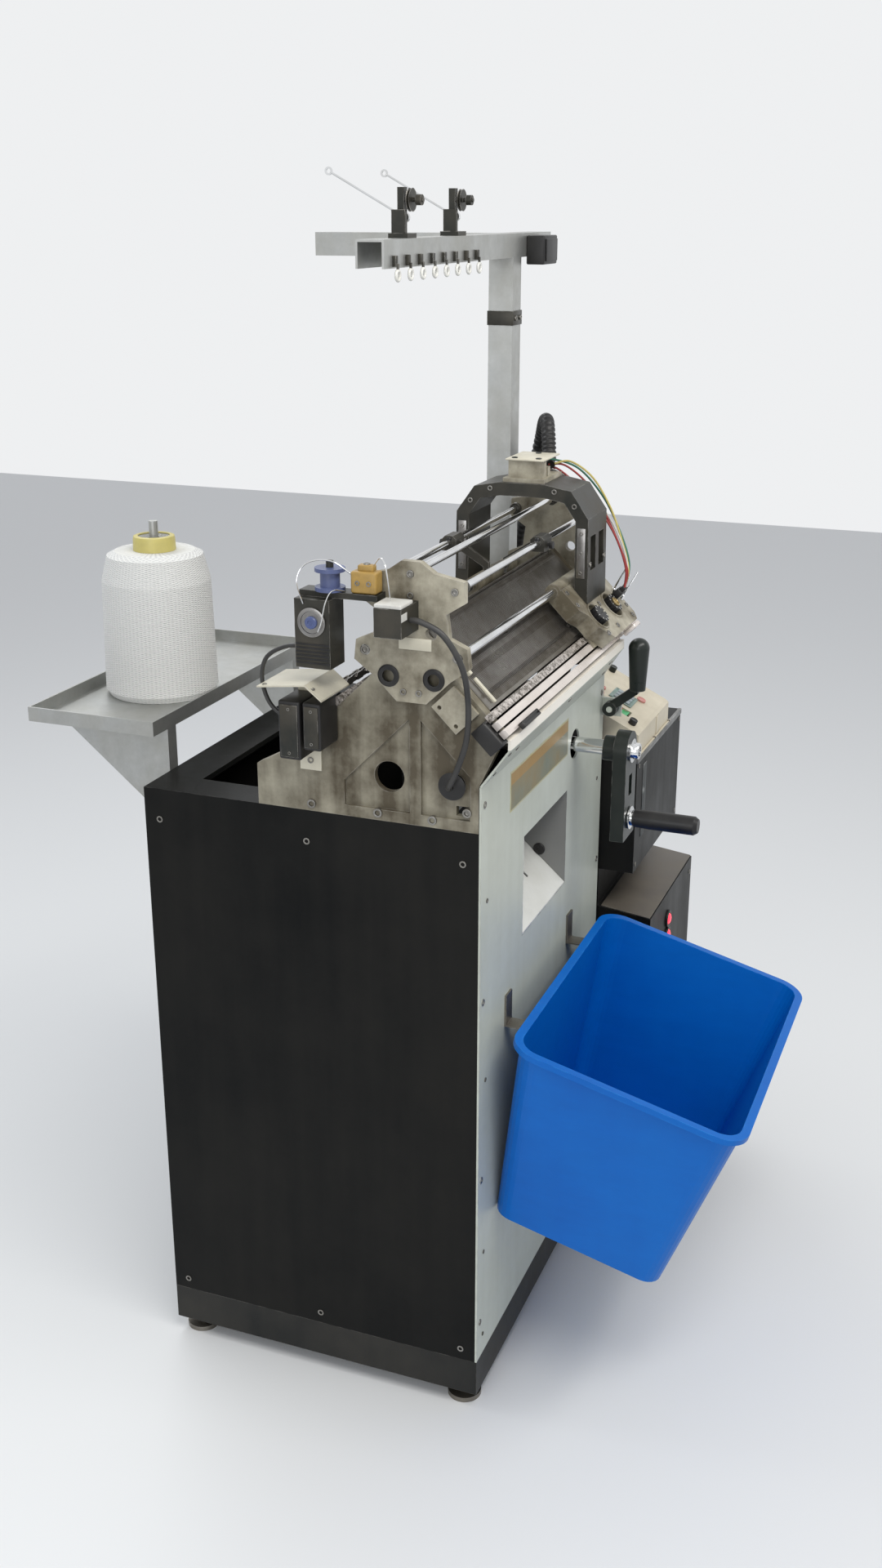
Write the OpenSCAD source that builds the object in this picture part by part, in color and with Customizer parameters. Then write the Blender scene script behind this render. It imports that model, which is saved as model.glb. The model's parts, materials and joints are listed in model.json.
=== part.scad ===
// Automatic glove knitting machine: two needle beds set as a roof, a carriage that sweeps over both,
// a black lower cabinet with a pale front cover, a control box at the right end, a yarn stand and a bin.
// X runs to the operator's right, Y to the rear and Z up; the floor is Z = 0.

/* [Body] */
// Width of the body over the outer faces of its two end frames
body_w = 600; // [560:5:680]
// Depth of the lower cabinet behind the front cover
cabinet_d = 517; // [480:1:560]
// Height of the deck that carries the end frames
deck_z = 947; // [930:1:960]
// Thickness of the deck plate
deck_t = 8; // [6:1:12]
// Thickness of cabinet and cover sheets
sheet_t = 3; // [2:0.5:4]
// Height of the levelling feet under the base frame
foot_h = 25; // [20:1:40]
// Height of the channels of the base frame
base_h = 60; // [50:1:80]
// Width of the channels of the base frame
base_rail_w = 60; // [40:1:80]

/* [Front cover] */
// Height of the knee where the cover starts to flare
knee_z = 1013; // [1005:1:1020]
// Height of the underside of the lip
lip_z = 1070; // [1064:1:1076]
// Reach of the lip in front of the panel
lip_reach = 40; // [34:1:50]
// Height of the lip's front band
lip_h = 14; // [10:1:20]
// Width of the lip's top band
lip_top = 18; // [12:1:20]
// How much shorter the lip is than the panel at the right
lip_short = 42; // [20:1:60]
// Left edge of the glove window
window_x = 182; // [150:1:200]
// Width of the glove window
window_w = 214; // [180:1:220]
// Lower edge of the glove window
window_z = 719; // [700:1:740]
// Height of the glove window
window_h = 157; // [140:1:170]
// Depth of the glove chute behind the panel
chute_d = 160; // [120:1:180]

/* [Beds] */
// Distance of the throat between the beds from the front panel
throat_y = 95; // [90:1:100]
// Height of the throat between the beds
throat_z = 1217; // [1210:1:1225]
// Thickness of each end frame
frame_t = 16; // [12:1:20]
// Length of each needle bed down its slope
bed_l = 137; // [120:1:138]
// Thickness of the needle beds
bed_t = 22; // [16:1:26]
// Half of the gap between the two beds at the throat
throat_gap = 4; // [3:0.5:6]
// Spacing of the needles
needle_pitch = 8; // [6:0.5:12]
// Width of a needle
needle_w = 2; // [1.5:0.5:3]
// Width of each slide bar at the foot of a bed
rail_w = 11; // [9:1:12]
// Height of each slide bar
rail_h = 10; // [8:1:10]
// Radius of the carriage guide rods
guide_r = 7; // [5:0.5:8]
// Radius of the yarn feeder rods
feeder_rod_r = 5; // [4:0.5:6]
// Thickness of the rail brackets outside the end frames
bracket_t = 12; // [8:1:16]

/* [Carriage] */
// Length of the carriage along the beds
carriage_l = 180; // [150:5:200]
// Gap between the carriage at rest and the right end frame
carriage_gap = 12; // [6:1:20]
// Thickness of the carriage castings
carriage_t = 28; // [22:1:32]
// Length of the bridge along the beds
bridge_l = 100; // [80:5:120]
// Radius of the stitch knobs
knob_r = 15; // [12:0.5:17]
// Running clearance of rods and shafts in their bores, on the radius
run_fit = 0.05; // [0.02:0.01:0.1]
// Clearance between parts that slide or seat without touching
seat_gap = 0.3; // [0.2:0.05:0.5]

/* [Drive] */
// Distance of the crank shaft from the body's right face
crank_inset = 169; // [160:1:180]
// Height of the crank shaft
crank_z = 942; // [935:1:945]
// Radius of the crank shaft
shaft_r = 12; // [10:0.5:14]
// Throw of the crank grip
crank_throw = 111; // [95:1:120]
// Length of the crank grip
grip_l = 105; // [90:1:115]
// Radius of the crank grip
grip_r = 15; // [13:0.5:17]
// Module of the two spur gears
gear_m = 3; // [3:0.5:3]
// Teeth of the gear on the crank shaft
crank_teeth = 24; // [22:1:26]
// Teeth of the gear on the sprocket shaft
sprocket_gear_teeth = 48; // [44:2:50]
// Teeth of the chain sprockets
sprocket_teeth = 14; // [12:2:16]
// Pitch of the drive chain
chain_pitch = 19; // [18:0.5:20]
// Radius of the large belt pulley
pulley_r = 55; // [50:1:58]
// Radius of the motor pulley
motor_pulley_r = 30; // [25:1:35]
// Radius of the motor
motor_r = 72; // [60:1:80]

/* [Control end] */
// Width of the control box and the cabinet under it
box_w = 310; // [280:5:330]
// Depth of the control box
box_d = 420; // [380:5:450]
// Reach of the control box in front of the panel
box_reach = 60; // [50:1:70]
// Height of the control box's top
box_top = 870; // [860:1:880]
// Height of the control box's underside
box_low = 663; // [650:1:680]
// Height of the step on top of the lower control cabinet
cabinet_step_z = 582; // [560:1:600]
// Reach of the lower control cabinet in front of the panel
cabinet_reach = 95; // [80:1:110]
// Width of the panel housing
panel_w = 210; // [180:5:220]
// Depth of the panel housing
panel_d = 150; // [130:5:160]

/* [Stand and yarn] */
// Side of the square stand pole
pole_w = 40; // [30:1:45]
// Height of the top of the stand pole
pole_top = 1662; // [1600:1:1700]
// Length of the stand beam along the machine
beam_l = 700; // [600:10:740]
// Height of the stand beam
beam_h = 36; // [25:1:40]
// Height of the yarn tray above the deck
tray_rise = 63; // [40:1:90]
// Depth of the yarn tray
tray_d = 215; // [200:1:240]
// Radius of the yarn cone at its foot
cone_r = 88; // [70:1:92]
// Height of the yarn on its cone
cone_h = 225; // [180:5:240]

/* [Bin] */
// Width of the bin at its rim
bin_w = 490; // [440:5:510]
// Depth of the bin at its rim from front to back
bin_d = 335; // [300:5:350]
// Height of the bin
bin_h = 310; // [280:5:320]
// Wall of the bin
bin_t = 3; // [2:0.5:4]
// Tilt of the bin away from the front cover, in degrees
bin_tilt = 14.5; // [14:0.1:15]
// Height of the bin's rim where it hangs on its hooks
bin_hang_z = 625; // [615:1:635]

/* [Hidden] */
$fn = 48;

cut = 1;
slope = 45;
sin_slope = sin(slope);
bin_lip_w = 9;
feed_reach = 58;
base_top = foot_h + base_h;
base_depth = cabinet_d + sheet_t;
overall_x0 = -bracket_t - feed_reach;
lock_reach = 5;
overall_x1 = body_w + box_w + lock_reach;
bin_taper = 36;
bin_offset = bin_h * sin(bin_tilt) - (bin_lip_w + bin_taper) * cos(bin_tilt) + seat_gap;
bin_front = bin_offset + (bin_d + 2 * bin_lip_w) * cos(bin_tilt);
overall_y0 = -bin_front;
overall_y1 = base_depth + sheet_t + tray_d;
mid_x = (overall_x0 + overall_x1) / 2;
mid_y = (overall_y0 + overall_y1) / 2;

inner_w = body_w - 2 * frame_t;
slope_edge = -1;
rail_start = bed_l + throat_gap + 3;
rail_step = rail_w + 3;
rail_count = 3;
rail_top = slope_edge + rail_h;
guide_u = 65;
guide_n = 27;
feeder_rods_at = [[34, 1277], [95, 1296], [156, 1277]];
carriage_x = body_w - frame_t - carriage_gap - carriage_l;
carriage_n = rail_top + seat_gap;
plate_n = 12;
plate_top = plate_n + carriage_t;
bridge_x = carriage_x + (carriage_l - bridge_l) / 2;
knob_places = [[44, 136], [120, 136]];

plate_y = 240;
plate_t = 8;
pulley_y = plate_y + plate_t + 6;
pulley_w = 24;
gear_y = pulley_y + pulley_w + 6;
gear_w = 12;
chain_y = gear_y + gear_w + 7;
chain_w = 10;
wheel_inset = 3.4;
crank_x = body_w - crank_inset;
crank_gear_r = gear_m * crank_teeth / 2;
sprocket_gear_r = gear_m * sprocket_gear_teeth / 2;
gear_centres = crank_gear_r + sprocket_gear_r;
sprocket_x = crank_x + gear_centres * sin_slope;
sprocket_z = crank_z + gear_centres * sin_slope;
sprocket_r = chain_pitch / (2 * sin(180 / sprocket_teeth));
wheel_pin_r = 2.2;
chain_span = round((sprocket_x - 93) / chain_pitch) * chain_pitch;
idler_x = sprocket_x - chain_span;
motor_x = crank_x + 39;
motor_z = base_top + motor_r + 30;
motor_l = 190;
arm_y = -70;
arm_t = 22;
crank_hub_l = 42;

box_x = body_w;
box_y = -box_reach;
pole_x = body_w + bracket_t + seat_gap;
pole_y = 176;
beam_y = pole_y;
beam_x = pole_x + pole_w - beam_l + 150;
beam_top = pole_top + beam_h;

foot_x = [base_rail_w / 2, body_w, body_w + box_w - base_rail_w / 2];
foot_y = [base_rail_w / 2, base_depth - base_rail_w / 2];
foot_rod_r = 8;
housing_r = 22;
bin_x = 27;
bin_hook_x = [bin_x + 80, bin_x + bin_w - 106];
hook_y = bin_offset + 1;
hook_z = bin_hang_z - bin_lip_w * cos(bin_tilt) - seat_gap
    - (hook_y + 1.5 - bin_offset + bin_lip_w * sin(bin_tilt)) * tan(bin_tilt);
needle_count = floor((inner_w - 20) / needle_pitch);
needle_x0 = frame_t + (inner_w - (needle_count - 1) * needle_pitch) / 2;
rod_overhang = bracket_t - 1;
feeder_1_x = 340;
feeder_2_x = 300;
slot_y = chain_y + chain_w + 5;
slot_t = 8;
conduit_r = 11;
conduit_route = [
    [body_w + 100, 225, box_top + seat_gap], [body_w + 100, 225, box_top + 30],
    [body_w + 106, 221, 970], [body_w + 108, 210, 1060], [body_w + 104, 196, 1160],
    [body_w + 94, 176, throat_z + 33], [body_w + 78, 156, throat_z + 108],
    [body_w + 56, 138, throat_z + 163], [body_w + 28, 124, throat_z + 193],
    [body_w + 2, 112, throat_z + 199], [body_w - 18, 103, throat_z + 183],
    [body_w - 30, 97, throat_z + 153], [body_w - 40, throat_y, throat_z + 129],
    [body_w - 52, throat_y, throat_z + 117],
    [bridge_x + bridge_l + seat_gap, throat_y, throat_z + 117]
];
lead_r = 6;
lead_route = [
    [body_w + 134, 262, box_top + seat_gap], [body_w + 134, 262, box_top + 30],
    [body_w + 138, 255, 980], [body_w + 142, 235, 1080], [body_w + 138, 205, 1170],
    [body_w + 122, 172, throat_z + 19], [body_w + 94, 148, throat_z + 51],
    [body_w + 66, 134, throat_z + 47], [body_w + 46, 126, throat_z + 30],
    [body_w + 32, 124, throat_z + 21], [body_w + bracket_t + seat_gap, 124, throat_z + 21]
];
sensor_lead_r = 4;
sensor_route = [
    [-41, 84 - seat_gap, 1243], [-41, 70, 1242], [-38, 40, 1226], [-34, 16, 1186], [-32, 8, 1140],
    [-31, 10, 1090], [-30, 22, 1050], [-24, 36, 1020], [-10, 42, 1010], [6, 42, 1010]
];
shaft_bore_r = shaft_r + run_fit;
lever_x = body_w - 30;
lever_pivot_z = 960;
lever_top_z = lever_pivot_z + 106;
lever_pivot_y = -16;
lever_hub_l = 16;
lever_pin_r = 5;
box_inner = sheet_t;
door_x = box_x + box_w - sheet_t + seat_gap;
hinge_x = box_x + box_w + 1;
hinge_y = box_y + box_d - 2;
hinge_r = 3.6;
hinge_pin_r = 2;
panel_x = box_x + 14;
panel_y = box_y + 4;
tray_x = panel_x + panel_w - 130;
rocker_x = panel_x + panel_w * 0.2 + 15;
rocker_y = panel_y + 47;
rocker_z = box_top + 47;
rocker_pin_r = 2;
pole_tube_t = 2.5;
tray_z = deck_z + tray_rise;
cross_l = 300;
unit_start = 110;
unit_spacing = 190;
unit_x = [beam_x + unit_start, beam_x + unit_start + unit_spacing];
takeup_pin_r = 3;
arm_pivot_y = beam_y + 30;
cone_x = 250;
peg_r = 8;
cone_y = base_depth + sheet_t + tray_d / 2;
cover_x = -70;
cover_l = 88;
feed_x = -bracket_t - feed_reach;
roller_pin_r = 5;

// Point on the front slope: u down the slope from the throat, n out from its surface
function on_slope(u, n) = [throat_y - (u + n) * sin_slope, throat_z - (u - n) * sin_slope];

// Mirror a profile's points to the rear slope
function rear_side(p) = [2 * throat_y - p[0], p[1]];

// Puts the machine's own measuring frame into the row's frame
module machine() {
    translate([-mid_x, -mid_y, 0]) children();
}

// Extrudes a profile drawn in Y and Z along X
module along_x(x, length) {
    translate([x, 0, 0]) rotate([90, 0, 90]) linear_extrude(length) children();
}

// Extrudes a profile drawn in X and Z along Y
module along_y(y, length) {
    translate([0, y + length, 0]) rotate([90, 0, 0]) linear_extrude(length) children();
}

// Frame whose -Y runs down the front slope and whose Z leaves its surface
module front_slope() {
    translate([0, throat_y, throat_z]) rotate([slope, 0, 0]) children();
}

// The same frame on the rear slope
module rear_slope() {
    translate([0, throat_y, throat_z]) mirror([0, 1, 0]) rotate([slope, 0, 0]) children();
}

// Square with rounded corners, centred
module round_square(w, h, r) {
    translate([-w / 2 + r, -h / 2]) square([w - 2 * r, h]);
    translate([-w / 2, -h / 2 + r]) square([w, h - 2 * r]);
    for (sx = [-1, 1])
        for (sy = [-1, 1])
            translate([sx * (w / 2 - r), sy * (h / 2 - r)]) circle(r, $fn = 24);
}

// Outline of a spur gear with straight-flanked teeth
module gear_outline(teeth, module_size) {
    pitch_r = teeth * module_size / 2;
    root_r = pitch_r - 1.25 * module_size;
    tip_r = pitch_r + 0.9 * module_size;
    half_root = 1.05 * module_size;
    half_tip = 0.38 * module_size;
    circle(root_r, $fn = 72);
    for (i = [0 : teeth - 1])
        rotate(i * 360 / teeth)
            polygon([
                [root_r - 1, -half_root], [tip_r, -half_tip], [tip_r, half_tip],
                [root_r - 1, half_root]
            ]);
}

// Outline of a chain sprocket with roller seats
module sprocket_outline() {
    roller_r = chain_pitch * 0.31;
    difference() {
        circle(sprocket_r - wheel_pin_r - seat_gap, $fn = 72);
        for (i = [0 : sprocket_teeth - 1])
            rotate(90 + i * 360 / sprocket_teeth)
                translate([sprocket_r, 0]) circle(roller_r + seat_gap, $fn = 16);
    }
}

// Welded base: a ring of channels under the body and the control end
module base_frame() {
    color("#2a2c2b")
        machine() {
            translate([0, 0, foot_h])
                difference() {
                    cube([body_w + box_w, base_depth, base_h]);
                    for (bay = [[0, body_w], [body_w, box_w]])
                        translate([bay[0] + base_rail_w, base_rail_w, -cut])
                            cube([
                                bay[1] - 2 * base_rail_w,
                                base_depth - 2 * base_rail_w,
                                base_h + 2 * cut
                            ]);
                    for (x = foot_x, y = foot_y)
                        translate([x, y, -cut]) cylinder(r = foot_rod_r + run_fit, h = base_h / 2);
                }
            translate([motor_x - 90, base_rail_w, foot_h])
                cube([180, base_depth - 2 * base_rail_w, base_h]);
        }
}

// Six levelling feet, each a pad, a hexagon nut and a threaded rod
module levelling_feet() {
    color("#6f7170")
        machine()
            for (x = foot_x, y = foot_y)
                translate([x, y, 0]) {
                    cylinder(r = 26, h = 8);
                    translate([0, 0, 8]) cylinder(r = foot_rod_r, h = foot_h + base_h / 2 - 12);
                    translate([0, 0, foot_h - 11]) cylinder(r = 14, h = 11, $fn = 6);
                }
}

// Black sheet cabinet with an open front, a deck on top and a framed opening at the rear
module lower_cabinet() {
    deck_margin = 60;
    color("#1d1f1f")
        machine()
            difference() {
                translate([0, sheet_t, base_top]) cube([body_w, cabinet_d, deck_z - base_top]);
                translate([sheet_t, sheet_t - cut, base_top - cut])
                    cube([
                        body_w - 2 * sheet_t,
                        cabinet_d - sheet_t + cut,
                        deck_z - deck_t - base_top + cut
                    ]);
                translate([deck_margin, deck_margin, deck_z - deck_t - cut])
                    cube([body_w - 2 * deck_margin, cabinet_d - 2 * deck_margin, deck_t + 2 * cut]);
                translate([crank_x - housing_r - 6, sheet_t - cut, deck_z - deck_t - cut])
                    cube([2 * housing_r + 12, deck_margin, deck_t + 2 * cut]);
                translate([30, base_depth - sheet_t - cut, base_top + 45])
                    cube([body_w - 60, sheet_t + 2 * cut, deck_z - base_top - 105]);
            }
}

// Screwed-on rear cover with rows of pressed louvres
module rear_cover() {
    cover_h = deck_z - base_top - 70;
    louvre_w = 180;
    color("#232526")
        machine()
            translate([15, base_depth, base_top + 30])
                difference() {
                    cube([body_w - 30, sheet_t, cover_h]);
                    for (column = [0, 1])
                        for (row = [0 : 7])
                            translate([65 + column * 260, -cut, 90 + row * 28])
                                cube([louvre_w, sheet_t + 2 * cut, 9]);
                    for (x = [12, body_w - 42])
                        for (z = [14, cover_h / 2, cover_h - 14])
                            translate([x, -cut, z])
                                rotate([-90, 0, 0]) cylinder(r = 3, h = sheet_t + 2 * cut);
                }
}

// Pale front cover: a flat panel, a flare above the knee and a thick lip, with the glove window
module front_cover() {
    cheek_x = lever_x + lever_hub_l + seat_gap;
    color("#c9cfc4")
        machine() {
            translate([cheek_x, -32, lever_pivot_z - 15]) cube([5, 33, 30]);
            along_x(lever_x - 1, lever_hub_l + 3)
                translate([lever_pivot_y, lever_pivot_z]) circle(lever_pin_r);
            difference() {
                union() {
                    translate([0, 0, base_top - 0]) cube([body_w - 8, sheet_t, knee_z - base_top]);
                    along_x(0, body_w - 8)
                        polygon([
                            [0, knee_z], [-lip_reach, lip_z], [-lip_reach + sheet_t, lip_z],
                            [sheet_t, knee_z + 1]
                        ]);
                    along_x(0, body_w - 8)
                        polygon([
                            [-lip_reach, lip_z - 1], [-lip_reach, lip_z + lip_h],
                            [-lip_reach + lip_top, lip_z + lip_h],
                            [-lip_reach + lip_top, lip_z + lip_h - 4],
                            [-lip_reach + 4, lip_z + lip_h - 4], [-lip_reach + 4, lip_z - 1]
                        ]);
                }
                rotate([90, 0, 0])
                        translate([0, 0, -sheet_t - cut])
                            linear_extrude(lip_reach + sheet_t + 2 * cut)
                                polygon([
                                    [body_w - 8 + cut, knee_z], [body_w - lip_short, lip_z - 4],
                                    [body_w - lip_short, lip_z + lip_h + cut],
                                    [body_w - 8 + cut, lip_z + lip_h + cut]
                                ]);
                translate([window_x, -cut, window_z]) cube([window_w, sheet_t + 2 * cut, window_h]);
                translate([crank_x, -cut, crank_z])
                    rotate([-90, 0, 0]) cylinder(r = housing_r + 2, h = sheet_t + 2 * cut);
            }
        }
}

// Folded chute behind the window: a sloping floor with two slots between two cheeks
module glove_chute() {
    inset = 0.5;
    x0 = window_x + inset;
    w = window_w - 2 * inset;
    floor_rise = window_h - 14;
    color("#dadbd3")
        machine()
            difference() {
                union() {
                    along_x(x0, w)
                        polygon([
                            [0, window_z + inset], [0, window_z + inset + 2.5],
                            [chute_d, window_z + floor_rise + 2.5], [chute_d, window_z + floor_rise]
                        ]);
                    for (x = [x0, x0 + w - 2])
                        along_x(x, 2)
                            polygon([
                                [0, window_z + inset], [0, window_z + window_h - inset],
                                [chute_d, window_z + window_h - inset],
                                [chute_d, window_z + floor_rise]
                            ]);
                }
                for (s = [0, 1])
                    translate([x0 + w * (0.3 + 0.32 * s), 25 + 12 * s, window_z])
                        cube([6, 75 - 30 * s, chute_d]);
                translate([x0 - cut, 62, window_z + window_h - 52])
                    rotate([0, 90, 0]) cylinder(r = 11, h = w + 2 * cut);
            }
}

// Two folded strip hooks under the window that carry the bin by its rim
module bin_hooks() {
    color("#a9aca6")
        machine()
            for (x = bin_hook_x)
                along_x(x, 26)
                    polygon([
                        [0, bin_hang_z + 30], [-3, bin_hang_z + 30], [-3, hook_z - 7],
                        [-hook_y + 1.5, hook_z - 7], [-hook_y + 1.5, hook_z],
                        [-hook_y - 1.5, hook_z], [-hook_y - 1.5, hook_z - 10], [0, hook_z - 10]
                    ]);
}

// One wall surface of the bin: a tapered block between its rim and its floor
module bin_block(w, d, h, taper, r) {
    hull() {
        translate([0, 0, -0.5]) linear_extrude(0.5) round_square(w, d, r);
        translate([0, 0, -h]) linear_extrude(0.5) round_square(w - 2 * taper, d - 2 * taper, r * 0.8);
    }
}

// Tapered plastic bin with a rolled rim, hung on the hooks and leaning outwards
module glove_bin() {
    corner = 34;
    color("#0a5fc0")
        machine()
            translate([bin_x + bin_w / 2, -bin_offset, bin_hang_z])
                rotate([bin_tilt, 0, 0])
                    translate([0, -bin_d / 2 - bin_lip_w, 0]) {
                        difference() {
                            bin_block(bin_w, bin_d, bin_h, bin_taper, corner);
                            translate([0, 0, bin_t])
                                bin_block(
                                    bin_w - 2 * bin_t,
                                    bin_d - 2 * bin_t,
                                    bin_h,
                                    bin_taper,
                                    corner - bin_t
                                );
                            translate([0, 0, -0.6])
                                linear_extrude(bin_t + cut)
                                    round_square(bin_w - 2 * bin_t, bin_d - 2 * bin_t, corner - bin_t);
                        }
                        translate([0, 0, -bin_lip_w])
                            difference() {
                                linear_extrude(bin_lip_w)
                                    round_square(
                                        bin_w + 2 * bin_lip_w,
                                        bin_d + 2 * bin_lip_w,
                                        corner + bin_lip_w
                                    );
                                translate([0, 0, -cut])
                                    linear_extrude(bin_lip_w + 2 * cut)
                                        round_square(bin_w - bin_t, bin_d - bin_t, corner);
                            }
                    }
}

// Outline of an end frame: feet on the deck, a nose behind the lip and two slopes for the beds
module end_frame_outline() {
    nose = on_slope(175, slope_edge);
    ridge = on_slope(0, slope_edge);
    tail = rear_side(nose);
    lip_back = -lip_reach + lip_top + 0.5;
    lip_clear_z = lip_z + lip_h + 0.5;
    polygon([
        [sheet_t + 1, deck_z], [sheet_t + 1, knee_z], [lip_back, lip_z - 2],
        [lip_back, lip_clear_z], [nose[0], lip_clear_z], nose, [throat_y, ridge[1] - 1], tail,
        [tail[0], lip_clear_z - 16], [chain_y + chain_w + 20, deck_z + 60],
        [chain_y + chain_w + 20, deck_z]
    ]);
}

// Cast end frame with triangular pockets, a round hole and a square hole
module end_frame(x, pocket_side) {
    pocket_depth = 6;
    pocket_x = pocket_side < 0 ? x - cut : x + frame_t - pocket_depth;
    color("#a5a18c")
        machine()
            difference() {
                along_x(x, frame_t) end_frame_outline();
                along_x(pocket_x, pocket_depth + cut) {
                    polygon([
                        [throat_y - 8, deck_z + 150], [16, deck_z + 78], [16, deck_z + 16],
                        [throat_y - 8, deck_z + 16]
                    ]);
                    polygon([
                        [throat_y + 8, deck_z + 150], [200, deck_z + 52], [200, deck_z + 16],
                        [throat_y + 8, deck_z + 16]
                    ]);
                }
                translate([x - cut, 42, 1010])
                    rotate([0, 90, 0]) cylinder(r = 17, h = frame_t + 2 * cut);
                translate([x - cut, 20, deck_z + 20]) cube([frame_t + 2 * cut, 18, 14]);
                translate([x - cut, throat_y + 40, 1010])
                    rotate([0, 90, 0]) cylinder(r = 22, h = frame_t + 2 * cut);
            }
}

module left_end_frame() {
    end_frame(0, -1);
}

module right_end_frame() {
    end_frame(body_w - frame_t, 1);
}

// One needle bed: a steel plate, mitred at the throat and grooved across, in the slope's own frame
module needle_bed() {
    groove_u = bed_l * 0.62;
    foot_u = bed_l + throat_gap;
    color("#4a4742")
        translate([frame_t, 0, 0])
            rotate([90, 0, 90])
                linear_extrude(inner_w)
                    polygon([
                        [-throat_gap, 0], [-groove_u, 0], [-groove_u, -1.5], [-groove_u - 5, -1.5],
                        [-groove_u - 5, 0], [-foot_u, 0], [-foot_u, -bed_t],
                        [-throat_gap - bed_t, -bed_t]
                    ]);
}

module front_needle_bed() {
    machine() front_slope() needle_bed();
}

module rear_needle_bed() {
    machine() rear_slope() needle_bed();
}

// A row of latch needles, each a shank with a butt and a hooked head
module needle_row() {
    color("#b9b6ae")
        for (i = [0 : needle_count - 1])
            translate([needle_x0 + i * needle_pitch - needle_w / 2, 0, 0])
                rotate([90, 0, 90])
                    linear_extrude(needle_w)
                        polygon([
                            [-bed_l * 0.92, 0], [-throat_gap - 1, 0], [-throat_gap + 1, 2.5],
                            [-throat_gap - 3, 3.4], [-throat_gap - 6, 1.8], [-bed_l * 0.5, 1.8],
                            [-bed_l * 0.5, 6], [-bed_l * 0.54, 6], [-bed_l * 0.54, 1.8],
                            [-bed_l * 0.88, 1.8], [-bed_l * 0.88, 5], [-bed_l * 0.92, 5]
                        ]);
}

module front_needles() {
    machine() front_slope() needle_row();
}

module rear_needles() {
    machine() rear_slope() needle_row();
}

// Cream plates on the outer faces of the end frames that close the ends of the front bed
module bed_end_plates() {
    color("#cdc7ab")
        machine()
            for (x = [-5, body_w])
                front_slope()
                    difference() {
                        translate([x, -136, -51]) cube([5, 49, 44]);
                        for (y = [-128, -95])
                            translate([x - cut, y, -43])
                                rotate([0, 90, 0]) cylinder(r = 3, h = 5 + 2 * cut, $fn = 24);
                    }
}

// Three ground slide bars at the foot of a bed
module rail_bars() {
    color("#b5aca3")
        for (i = [0 : rail_count - 1])
            difference() {
                translate([-9, -rail_start - i * rail_step - rail_w, slope_edge])
                    cube([body_w + 9 - lip_short * (i == 2 ? 1 : 0), rail_w, rail_h]);
                translate([-9 - cut, -rail_start - i * rail_step - 2, rail_top - 2])
                    cube([body_w + 20, 2 + cut, 2 + cut]);
            }
}

module front_rails() {
    machine() front_slope() rail_bars();
}

module rear_rails() {
    machine() rear_slope() rail_bars();
}

// Yoke-shaped bracket outside an end frame that holds the guide rods and feeder rods
module rail_bracket(x) {
    guide = on_slope(guide_u, guide_n);
    left = [
        [74, 1124], [40, 1157], [14, 1176], [17, 1203], [42, 1214], [46, 1246], [21, 1262],
        [21, 1290], [62, 1298], [82, 1312]
    ];
    right = [for (i = [len(left) - 1 : -1 : 0]) rear_side(left[i])];
    color("#bdb79b")
        machine()
            difference() {
                along_x(x, bracket_t) polygon(concat(left, right));
                for (p = [guide, rear_side(guide)])
                    translate([x - cut, p[0], p[1]])
                        rotate([0, 90, 0]) cylinder(r = guide_r + run_fit, h = bracket_t + 2 * cut);
                for (p = feeder_rods_at)
                    translate([x - cut, p[0], p[1]])
                        rotate([0, 90, 0])
                            cylinder(r = feeder_rod_r + run_fit, h = bracket_t + 2 * cut);
                for (p = [[63, 1158, 13], [67, 1219, 8], [127, 1158, 13], [123, 1219, 8]])
                    translate([x - cut, p[0], p[1]])
                        rotate([0, 90, 0]) cylinder(r = p[2], h = bracket_t + 2 * cut);
            }
}

module left_rail_bracket() {
    rail_bracket(-bracket_t);
}

module right_rail_bracket() {
    rail_bracket(body_w);
}

// Two chrome rods that guide the carriage, one over each bed
module guide_rods() {
    guide = on_slope(guide_u, guide_n);
    color("#d0d2d4")
        machine()
            for (p = [guide, rear_side(guide)])
                translate([-rod_overhang, p[0], p[1]])
                    rotate([0, 90, 0]) cylinder(r = guide_r, h = body_w + 2 * rod_overhang);
}

// Three chrome rods that carry the yarn feeders
module feeder_rods() {
    color("#d0d2d4")
        machine()
            for (p = feeder_rods_at)
                translate([-rod_overhang, p[0], p[1]])
                    rotate([0, 90, 0]) cylinder(r = feeder_rod_r, h = body_w + 2 * rod_overhang);
}

// Yarn feeder: a block that slides on one rod, an arm and a tube that ends over the throat
module yarn_feeder(rod, x, lean) {
    tip_z = throat_z + 10;
    color("#8b8d90")
        machine()
            difference() {
                union() {
                    along_x(x - 17, 34)
                        polygon([
                            [rod[0] - 11, rod[1] - 12], [rod[0] + 11, rod[1] - 12],
                            [rod[0] + 11, rod[1] + 5], [rod[0] + 6, rod[1] + 10],
                            [rod[0] - 6, rod[1] + 10], [rod[0] - 11, rod[1] + 5]
                        ]);
                    along_x(x - 3, 6)
                        polygon([
                            [rod[0] + lean * 8, rod[1] - 11], [rod[0] + lean * 11, rod[1] + 2],
                            [throat_y - lean * 4, tip_z + 22], [throat_y - lean * 4, tip_z + 6],
                            [throat_y - lean * 10, tip_z + 6], [throat_y - lean * 14, tip_z + 16]
                        ]);
                    translate([x, throat_y - lean * 7, tip_z]) cylinder(r = 2.4, h = 12, $fn = 24);
                }
                translate([x - 18, rod[0], rod[1]])
                    rotate([0, 90, 0]) cylinder(r = feeder_rod_r + run_fit, h = 36);
                translate([x, throat_y - lean * 7, tip_z - cut]) cylinder(r = 1, h = 8, $fn = 16);
            }
}

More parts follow.
